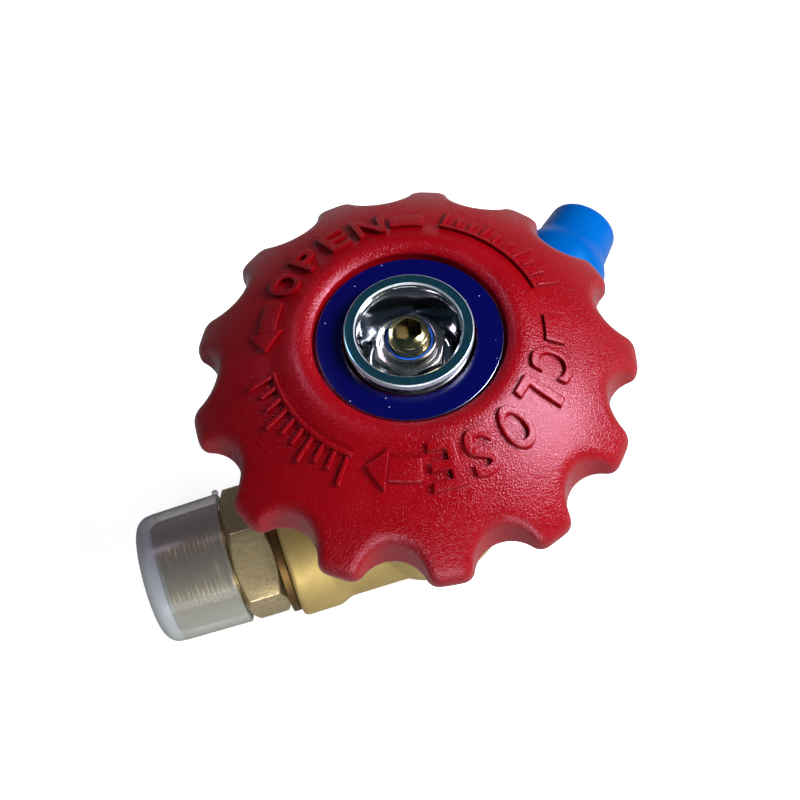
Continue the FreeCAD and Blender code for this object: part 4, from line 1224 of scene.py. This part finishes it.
class VALVE_OT_lock_nut(bpy.types.Operator):
    """Build the lock nut with its round collar, and its blue nylon ring"""

    bl_idname = "valve.lock_nut"
    bl_label = "Lock nut"

    def execute(self, context):
        nut = hexagon(10.0, 5.8, 10.3, math.radians(8))
        collar = turned((
            (0, 9.6), (4.7, 9.6), (4.25, 10.4, 0.3), (4.1, 11.7, 0.12), (3.92, 11.85, 0.06), (0, 11.85),
        ), 96, closed=False)
        combine(nut, collar, "UNION")
        bore = turned((
            (0, 5.0), (3.2, 5.0), (3.2, 10.35), (3.72, 10.35), (3.72, 12.5), (0, 12.5),
        ), 96, closed=False)
        combine(nut, bore, "DIFFERENCE")
        bevel(nut, 0.08, 2, 35)
        place(nut, WHEEL_LOW)
        smooth(nut, 35)
        finish(nut, "lock_nut_shell", "wheel", shared_material(plated_steel), ("lock_nut",))
        insert = ring(3.15, 3.68, 10.4, 11.5, 0.18, 96)
        place(insert, WHEEL_LOW)
        smooth(insert, 40)
        finish(insert, "nylon_ring", "wheel", shared_material(nylon), ("nylon_insert",))
        return {"FINISHED"}


# The stud's key hole, wider and deeper than the solid's, whose corner radius is 1.55 and depth 1.6
KEY_CORNER = 2.1
KEY_DEPTH = 3.2
KEY_CLOCKING = 20
# Reach and depth of the key hole's walls that are painted dark as shade
KEY_WALL_REACH = 2.15
KEY_WALL_DEPTH = 3.4


class VALVE_OT_upper_stem(bpy.types.Operator):
    """Build the turning stem with its squares, threaded stud and key hole"""

    bl_idname = "valve.upper_stem"
    bl_label = "Upper stem"

    def execute(self, context):
        low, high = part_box("upper_stem")
        base, top = low.z / MM, high.z / MM
        collar_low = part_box("stem_seal")[0].z / MM - 2.45
        groove = (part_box("stem_o_ring")[0].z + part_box("stem_o_ring")[1].z) / 2 / MM
        stem = turned([
            (0, collar_low), (7.4, collar_low, 0.3), (7.4, collar_low + 2.4, 0.3), (4.45, collar_low + 2.4),
            (4.45, groove - 0.7, 0.1), (3.5, groove - 0.7), (3.5, groove + 0.7), (4.45, groove + 0.7, 0.1),
            (4.45, 62.0, 0.2), (3.05, 62.0), (3.05, 70.0), *fine_wall(3.05, 70.2, top - 1.9, 0.08),
            (2.95, top - 1.35, 0.3), (0, top, 4.3, LEFT),
        ], 96, closed=False)
        cut_thread(stem, 70.2, top - 1.7, 1.0, 0.32, 3.05)
        deselect_all()
        bpy.ops.mesh.primitive_cylinder_add(
            vertices=6, radius=KEY_CORNER * MM, depth=KEY_DEPTH * 2 * MM, location=(0, 0, top * MM),
            rotation=(0, 0, math.radians(KEY_CLOCKING - 90)),
        )
        key = bpy.context.object
        bpy.ops.object.transform_apply(location=True, rotation=True, scale=True)
        combine(stem, key, "DIFFERENCE")
        tang = square_prism(6.8, base, collar_low + 0.5)
        bevel(tang, 0.4, 3, 40)
        drive = square_prism(6.2, 62.0, 66.0)
        bevel(drive, 0.2, 2, 40)
        join(stem, [tang, drive])
        smooth(stem, 35)
        finish(stem, "turning_stem", "wheel", shared_material(stud_brass), ("upper_stem",))
        stem.data.materials.append(shared_material(dark_seal_and_painted_hole_shade))
        # Painted shade: the key hole's side walls are coloured dark to stand in for the shade inside the hole
        for face in stem.data.polygons:
            inside = math.hypot(face.center.x, face.center.y) < KEY_WALL_REACH * MM
            if inside and face.center.z > (top - KEY_WALL_DEPTH) * MM and abs(face.normal.z) < 0.3:
                face.material_index = 1
        return {"FINISHED"}


# The ports
def adapter(name, body, turn, clocking, hex_sizes, spigot, after, bore, thread, node):
    """A port adapter along +X: spigot, hexagon and what follows it, with its bore."""
    flats, hex_low, hex_high = hex_sizes
    end = after[-1][1]
    core, eye = flats / 2 * 0.9, flats / 2 * 0.85
    piece = turned([
        (bore, spigot[1], 0.2), (spigot[0], spigot[1], 0.5), (spigot[0], hex_low - 0.01),
        (core, hex_low), (core, hex_high), *after, (bore, end, 0.4),
    ], 144)
    cut_thread(piece, *thread)
    nut = hexagon(flats, hex_low, hex_high, clocking + math.pi / 2)
    hole = turned((
        (0, hex_low - 1), (eye, hex_low - 1), (eye, hex_high + 1), (0, hex_high + 1),
    ), 96, closed=False)
    combine(nut, hole, "DIFFERENCE")
    bevel(nut, 0.35, 3, 25)
    nut.data.materials.append(shared_material(cast_brass))
    piece.data.materials.append(shared_material(turned_brass))
    join(piece, [nut])
    lay_on_port(piece, turn)
    smooth(piece, 35)
    finish(piece, name, body, None, (node,))
    return piece


def lay_on_port(piece, turn):
    """Lays a piece made along +Z onto a port's axis."""
    choose(piece)
    lay = Matrix.Rotation(turn, 4, "Z") @ Matrix.Rotation(math.pi / 2, 4, "Y")
    piece.matrix_world = Matrix.Translation((0, 0, PORT_HEIGHT * MM)) @ lay
    bpy.ops.object.transform_apply(location=True, rotation=True, scale=True)


class VALVE_OT_inlet_adapter(bpy.types.Operator):
    """Turn the inlet adapter with its hexagon and taper pipe thread"""

    bl_idname = "valve.inlet_adapter"
    bl_label = "Inlet adapter"

    def execute(self, context):
        after = [
            (9.4, 38.5), (9.4, 39.6), *fine_wall(10.67, 40.2, 51.4, 0.12, 0.03125), (9.6, 52.0, 0.15),
        ]
        adapter(
            "inlet_nipple", "body", INLET_TURN, math.radians(25.6), INLET_HEXAGON,
            spigot=(9.1, 17.6), after=after, bore=6.0,
            thread=(40.2, 51.6, 1.814, 0.95, 10.67, 0.03125), node="inlet_adapter",
        )
        return {"FINISHED"}


class VALVE_OT_outlet_adapter(bpy.types.Operator):
    """Turn the outlet adapter with its hexagon, shank and straight thread"""

    bl_idname = "valve.outlet_adapter"
    bl_label = "Outlet adapter"

    def execute(self, context):
        after = [
            (8.6, 43.5), (8.6, 61.4, 0.3), (8.0, 62.0, 0.2), (6.4, 62.0),
            *fine_wall(6.58, 62.6, 72.6, 0.14), (6.0, 73.0, 0.1),
        ]
        adapter(
            "outlet_nipple", "body", OUTLET_TURN, math.radians(15), OUTLET_HEXAGON,
            spigot=(7.1, 20.6), after=after, bore=4.4,
            thread=(62.8, 72.7, 1.34, 0.7, 6.58, 0.0), node="outlet_adapter",
        )
        return {"FINISHED"}


# The small nib on the inlet cap's rim, which the solid lacks: along X, along Y and over the port's axis
NIB_PLACE = (-38.9, 11.4, 5.98)
NIB_RADIUS = 0.65


class VALVE_OT_inlet_cap(bpy.types.Operator):
    """Turn the translucent slip-on cap of the inlet"""

    bl_idname = "valve.inlet_cap"
    bl_label = "Inlet cap"

    def execute(self, context):
        cap = turned(cap_profile(), 144, closed=False)
        lay_on_port(cap, INLET_TURN)
        along, aside, lift = NIB_PLACE
        deselect_all()
        bpy.ops.mesh.primitive_uv_sphere_add(
            segments=16, ring_count=10, radius=NIB_RADIUS * MM,
            location=(along * MM, aside * MM, (PORT_HEIGHT + lift) * MM),
        )
        nib = bpy.context.object
        bpy.ops.object.transform_apply(location=True, rotation=True, scale=True)
        combine(cap, nib, "UNION")
        smooth(cap, 50)
        clear = shared_material(clear_plastic)
        finish(cap, "clear_thread_cap", "clear_cap", clear, ("inlet_cap",))
        cap.data.materials.append(shared_material(milky_plastic))
        for face in cap.data.polygons:
            reach = math.hypot(face.center.y / MM, face.center.z / MM - PORT_HEIGHT)
            if -face.center.x / MM > 51.4 or reach > 12.85:
                face.material_index = 1
        return {"FINISHED"}


def cap_profile():
    """Half section of the inlet cap, about 0.6 mm larger in radius than the solid's, inside first."""
    return (
        (0, 52.6), (9.9, 52.6, 0.6), (10.72, 51.0), (11.02, 38.65, 0.2), (12.75, 38.65, 0.35),
        (12.45, 51.4), (12.35, 52.3), (9.7, 54.95, 2.8, LEFT), (0, 55.2),
    )


class VALVE_OT_outlet_cap(bpy.types.Operator):
    """Turn the blue slip-on cap of the outlet"""

    bl_idname = "valve.outlet_cap"
    bl_label = "Outlet cap"

    def execute(self, context):
        cap = turned((
            (0, 73.4), (6.0, 73.4), (6.9, 72.2), (6.93, 66.0), (8.93, 62.6), (8.95, 57.0, 0.2),
            (10.05, 57.0, 0.3), (10.05, 62.4, 6.0), (8.2, 66.0, 6.0), (7.6, 72.1),
            (5.2, 74.45, 2.4, LEFT), (0, 74.5),
        ), 128, closed=False)
        lay_on_port(cap, OUTLET_TURN)
        smooth(cap, 50)
        finish(cap, "blue_thread_cap", "blue_cap", shared_material(cap_blue), ("outlet_cap",))
        return {"FINISHED"}


# The body and what is fixed to it
def port_arm(turn, face, boss, boss_start, arm):
    """One port's arm with its boss, from the stem axis to the boss's face."""
    piece = turned((
        (0, 0), (arm, 0), (arm, boss_start - 2.4), (boss, boss_start, 1.2),
        (boss, face - 0.1, 0.9), (0, face),
    ), 128, closed=False)
    lay_on_port(piece, turn)
    return piece


def port_socket(turn, face, socket, depth, bore, bore_end):
    """What a port's threaded socket and its passage take away."""
    piece = turned((
        (0, bore_end), (bore, bore_end), (bore, face - depth),
        (socket, face - depth), (socket, face + 1), (0, face + 1),
    ), 96, closed=False)
    lay_on_port(piece, turn)
    return piece


def soften(piece, voxel, rounds):
    """Melts a piece's edges like a forging's."""
    choose(piece)
    piece.data.remesh_voxel_size = voxel * MM
    piece.data.remesh_voxel_adaptivity = 0
    bpy.ops.object.voxel_remesh()
    bpy.ops.object.modifier_add(type="SMOOTH")
    modifier = piece.modifiers[-1]
    modifier.factor = 0.5
    modifier.iterations = rounds
    bpy.ops.object.modifier_apply(modifier=modifier.name)
    bpy.ops.object.shade_smooth()


class VALVE_OT_valve_body(bpy.types.Operator):
    """Build the forged body from its barrel and two arms, and hollow it"""

    bl_idname = "valve.valve_body"
    bl_label = "Valve body"

    def execute(self, context):
        body = turned((
            (0, 0), (11.0, 0, 0.4), (11.0, 1.0), (16.5, 20.0, 35.6, LEFT), (16.5, 28.6, 0.8),
            (17.5, 30.0, 0.6), (17.5, 33.95, 0.6), (0, 34.0),
        ), 144, closed=False)
        combine(body, port_arm(INLET_TURN, INLET_FACE, 14.8, 21.5, 13.8), "UNION")
        combine(body, port_arm(OUTLET_TURN, OUTLET_FACE, 12.6, 24.0, 11.6), "UNION")
        chamber = turned((
            (0, 24.0), (6.0, 24.0), (6.0, 22.0), (12.0, 22.0),
            (12.0, 26.7), (13.0, 26.7), (13.0, 35.0), (0, 35.0),
        ), 96, closed=False)
        combine(body, chamber, "DIFFERENCE")
        riser = turned(((0, 15), (4.0, 15), (4.0, 25.0), (0, 25.0)), 64, closed=False)
        combine(body, riser, "DIFFERENCE")
        combine(body, port_socket(INLET_TURN, INLET_FACE, 9.2, 12.0, 4.5, 0.0), "DIFFERENCE")
        combine(body, port_socket(OUTLET_TURN, OUTLET_FACE, 7.2, 13.0, 4.4, 19.0), "DIFFERENCE")
        soften(body, 0.4, 10)
        brass = shared_material(forged_brass)
        finish(body, "forged_body", "body", brass, ("valve_body",))
        return {"FINISHED"}


class VALVE_OT_bonnet(bpy.types.Operator):
    """Turn the bonnet with its hexagon and neck"""

    bl_idname = "valve.bonnet"
    bl_label = "Bonnet"

    def execute(self, context):
        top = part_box("bonnet")[1].z / MM
        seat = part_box("stem_seal")[1].z / MM + 0.05
        bonnet = turned((
            (8.0, 27.3, 0.3), (12.9, 27.3, 0.5), (12.9, 34.98), (15.0, 35.0), (15.0, 44.0), (13.5, 44.0, 0.2),
            (10.6, 49.0, 10.0, RIGHT), (10.6, top, 0.5), (4.5, top, 0.3), (4.5, seat), (8.0, seat, 0.2),
        ), 144)
        nut = hexagon(32.0, 35.0, 44.0, math.radians(15))
        hole = turned(((0, 34), (14.4, 34), (14.4, 45), (0, 45)), 96, closed=False)
        combine(nut, hole, "DIFFERENCE")
        bevel(nut, 0.4, 3, 25)
        join(bonnet, [nut])
        smooth(bonnet, 35)
        brass = shared_material(turned_brass)
        finish(bonnet, "turned_bonnet", "body", brass, ("bonnet",))
        return {"FINISHED"}


def sealing_ring(sizes, name, make, node, turn=None):
    """A flat ring on the stem's axis, or on a port's where a turn is given."""
    piece = ring(*sizes)
    if turn is not None:
        lay_on_port(piece, turn)
    smooth(piece)
    finish(piece, name, "body", shared_material(make), (node,))


# Drawn out to 13.4, where the solid's ring ends at 10.9, so that no groove shows beside the hexagon
INLET_RING = (10.4, 13.4, INLET_FACE, INLET_HEXAGON[1], 0.15)
OUTLET_RING = (8.4, 9.0, OUTLET_FACE, OUTLET_HEXAGON[1], 0.12)


class VALVE_OT_rings(bpy.types.Operator):
    """Turn the gasket, the washers and the sealing rings"""

    bl_idname = "valve.rings"
    bl_label = "Gasket, washer and rings"

    def execute(self, context):
        gasket = (14.2, 16.6, 34.0, 35.0, 0.2)
        sealing_ring(gasket, "gasket_ring", dark_seal_and_painted_hole_shade, "bonnet_gasket")
        low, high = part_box("thrust_washer")
        washer = (4.65, 8.6, low.z / MM, high.z / MM, 0.12)
        sealing_ring(washer, "washer_ring", plated_steel, "thrust_washer")
        # The inlet ring is painted dark as shade in the gap beside the hexagon
        sealing_ring(INLET_RING, "inlet_ring", painted_shade_ring_brass, "inlet_seal", INLET_TURN)
        sealing_ring(OUTLET_RING, "outlet_ring", dark_seal_and_painted_hole_shade, "outlet_seal", OUTLET_TURN)
        return {"FINISHED"}


INNER_FINISHES = {
    "stem_spring": spring_steel,
    "stem_seal": white_seal,
    "seat_disc": white_seal,
    "stem_o_ring": black_rubber,
    "lower_stem": stud_brass,
    "disc_holder": stud_brass,
    "disc_screw": plated_steel,
}


class VALVE_OT_inner_parts(bpy.types.Operator):
    """Give the pieces inside the valve their finishes"""

    bl_idname = "valve.inner_parts"
    bl_label = "Inner parts"

    def execute(self, context):
        for node, make in INNER_FINISHES.items():
            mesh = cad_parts[node].data
            mesh.materials.clear()
            mesh.materials.append(shared_material(make))
        return {"FINISHED"}


# The stage
CAMERA_PLACE = (-17.7, -82.4, 214.6)
CAMERA_RIGHT = (0.955, -0.290, -0.0605)
CAMERA_DOWN = (-0.284, -0.837, -0.4674)
CAMERA_AHEAD = (0.085, 0.4636, -0.8819)
LENS = 49.5
FLOOR_SIZE = 6.0
LIGHTS_AIM = (0, 0, 0.05)
SKY_COLOUR = (0.45, 0.72, 1.0, 1)
SKY_STRENGTH = 0.052


def aim(thing, place_at, target):
    thing.location = place_at
    thing.rotation_euler = (Vector(target) - Vector(place_at)).to_track_quat("-Z", "Y").to_euler()


def softbox(name, place_at, size, power, colour=(1, 1, 1), target=LIGHTS_AIM):
    deselect_all()
    bpy.ops.object.light_add(type="AREA", location=(0, 0, 0))
    light = bpy.context.object
    light.name = name
    light.data.shape = "RECTANGLE"
    light.data.size, light.data.size_y = size
    light.data.energy = power
    light.data.color = colour
    aim(light, place_at, target)
    return light


def floor_material():
    material, tree, shader, vector = new_material("Pale floor", Roughness=0.9, Specular_IOR_Level=0.1)
    cloud = noise_node(tree, 2.0)
    cloud.inputs["Scale"].default_value = 6.0
    tree.links.new(vector, cloud.inputs["Vector"])
    pale = mix_colours(tree, cloud.outputs["Fac"], (0.78, 0.78, 0.78, 1), (0.82, 0.82, 0.82, 1))
    light = tree.nodes.new("ShaderNodeLightPath")
    seen = mix_colours(tree, light.outputs["Is Camera Ray"], (0.36, 0.36, 0.36, 1), (1, 1, 1, 1))
    tree.links.new(pale.outputs["Result"], seen.inputs["B"])
    tree.links.new(seen.outputs["Result"], shader.inputs["Base Color"])
    glow = map_range(tree, 0.0, 1.0, 0.0, 0.8)
    tree.links.new(light.outputs["Is Camera Ray"], glow.inputs["Value"])
    tree.links.new(glow.outputs["Result"], shader.inputs["Emission Strength"])
    shader.inputs["Emission Color"].default_value = (1, 1, 1, 1)
    return material


class VALVE_OT_stage(bpy.types.Operator):
    """Set the pale floor, the soft lights and the camera"""

    bl_idname = "valve.stage"
    bl_label = "Stage"

    def execute(self, context):
        deselect_all()
        bpy.ops.mesh.primitive_plane_add(size=FLOOR_SIZE, location=(0, 0, 0))
        floor = context.object
        floor.name = "floor"
        floor.data.materials.append(floor_material())
        softbox("key_softbox", (0.42, -0.14, 0.47), (0.30, 0.30), 6.6, (1.0, 0.97, 0.99))
        softbox("back_softbox", (-0.22, 0.28, 0.55), (0.13, 0.10), 0.55, (1.0, 0.75, 0.9))
        softbox("front_fill", (-0.15, -0.70, 0.16), (0.5, 0.22), 3.0, (1.0, 0.98, 0.93))
        world = bpy.data.worlds.new("Studio")
        world.use_nodes = True
        sky = world.node_tree.nodes["Background"]
        sky.inputs["Color"].default_value = SKY_COLOUR
        sky.inputs["Strength"].default_value = SKY_STRENGTH
        context.scene.world = world
        context.scene.view_settings.view_transform = "Standard"
        camera = bpy.data.cameras.new("photo_camera")
        camera.sensor_width = 36.0
        camera.lens = LENS
        camera.clip_start = 0.01
        camera.clip_end = 20.0
        holder = bpy.data.objects.new("photo_camera", camera)
        context.scene.collection.objects.link(holder)
        right, down, ahead = Vector(CAMERA_RIGHT), Vector(CAMERA_DOWN), Vector(CAMERA_AHEAD)
        turn = Matrix((right, -down, -ahead)).transposed().to_4x4()
        holder.matrix_world = Matrix.Translation(Vector(CAMERA_PLACE) * MM) @ turn
        context.scene.camera = holder
        return {"FINISHED"}


class VALVE_PT_panel(bpy.types.Panel):
    bl_label = "Shut-off valve"
    bl_idname = "VALVE_PT_panel"
    bl_space_type = "VIEW_3D"
    bl_region_type = "UI"
    bl_category = "Valve"

    def draw(self, context):
        for group in ("valve_wheel", "valve_legends", "valve_finishes"):
            settings = getattr(context.scene, group)
            box = self.layout.box()
            for name in settings.bl_rna.properties.keys():
                if name not in ("rna_type", "name"):
                    box.prop(settings, name)
        for step in STEPS:
            self.layout.operator(step.bl_idname)


STEPS = (
    VALVE_OT_handwheel,
    VALVE_OT_legends,
    VALVE_OT_hub_plate,
    VALVE_OT_spring_cup,
    VALVE_OT_lock_nut,
    VALVE_OT_upper_stem,
    VALVE_OT_inlet_adapter,
    VALVE_OT_outlet_adapter,
    VALVE_OT_inlet_cap,
    VALVE_OT_outlet_cap,
    VALVE_OT_valve_body,
    VALVE_OT_bonnet,
    VALVE_OT_rings,
    VALVE_OT_inner_parts,
    VALVE_OT_stage,
)
CLASSES = (WheelSizes, LegendSizes, Finishes, *STEPS, VALVE_PT_panel)


def register():
    for item in CLASSES:
        bpy.utils.register_class(item)
    bpy.types.Scene.valve_wheel = PointerProperty(type=WheelSizes)
    bpy.types.Scene.valve_legends = PointerProperty(type=LegendSizes)
    bpy.types.Scene.valve_finishes = PointerProperty(type=Finishes)


def unregister():
    for name in ("valve_wheel", "valve_legends", "valve_finishes"):
        delattr(bpy.types.Scene, name)
    for item in reversed(CLASSES):
        bpy.utils.unregister_class(item)


def main():
    register()
    for step in STEPS:
        family, action = step.bl_idname.split(".")
        getattr(getattr(bpy.ops, family), action)()


if __name__ == "__main__":
    main()
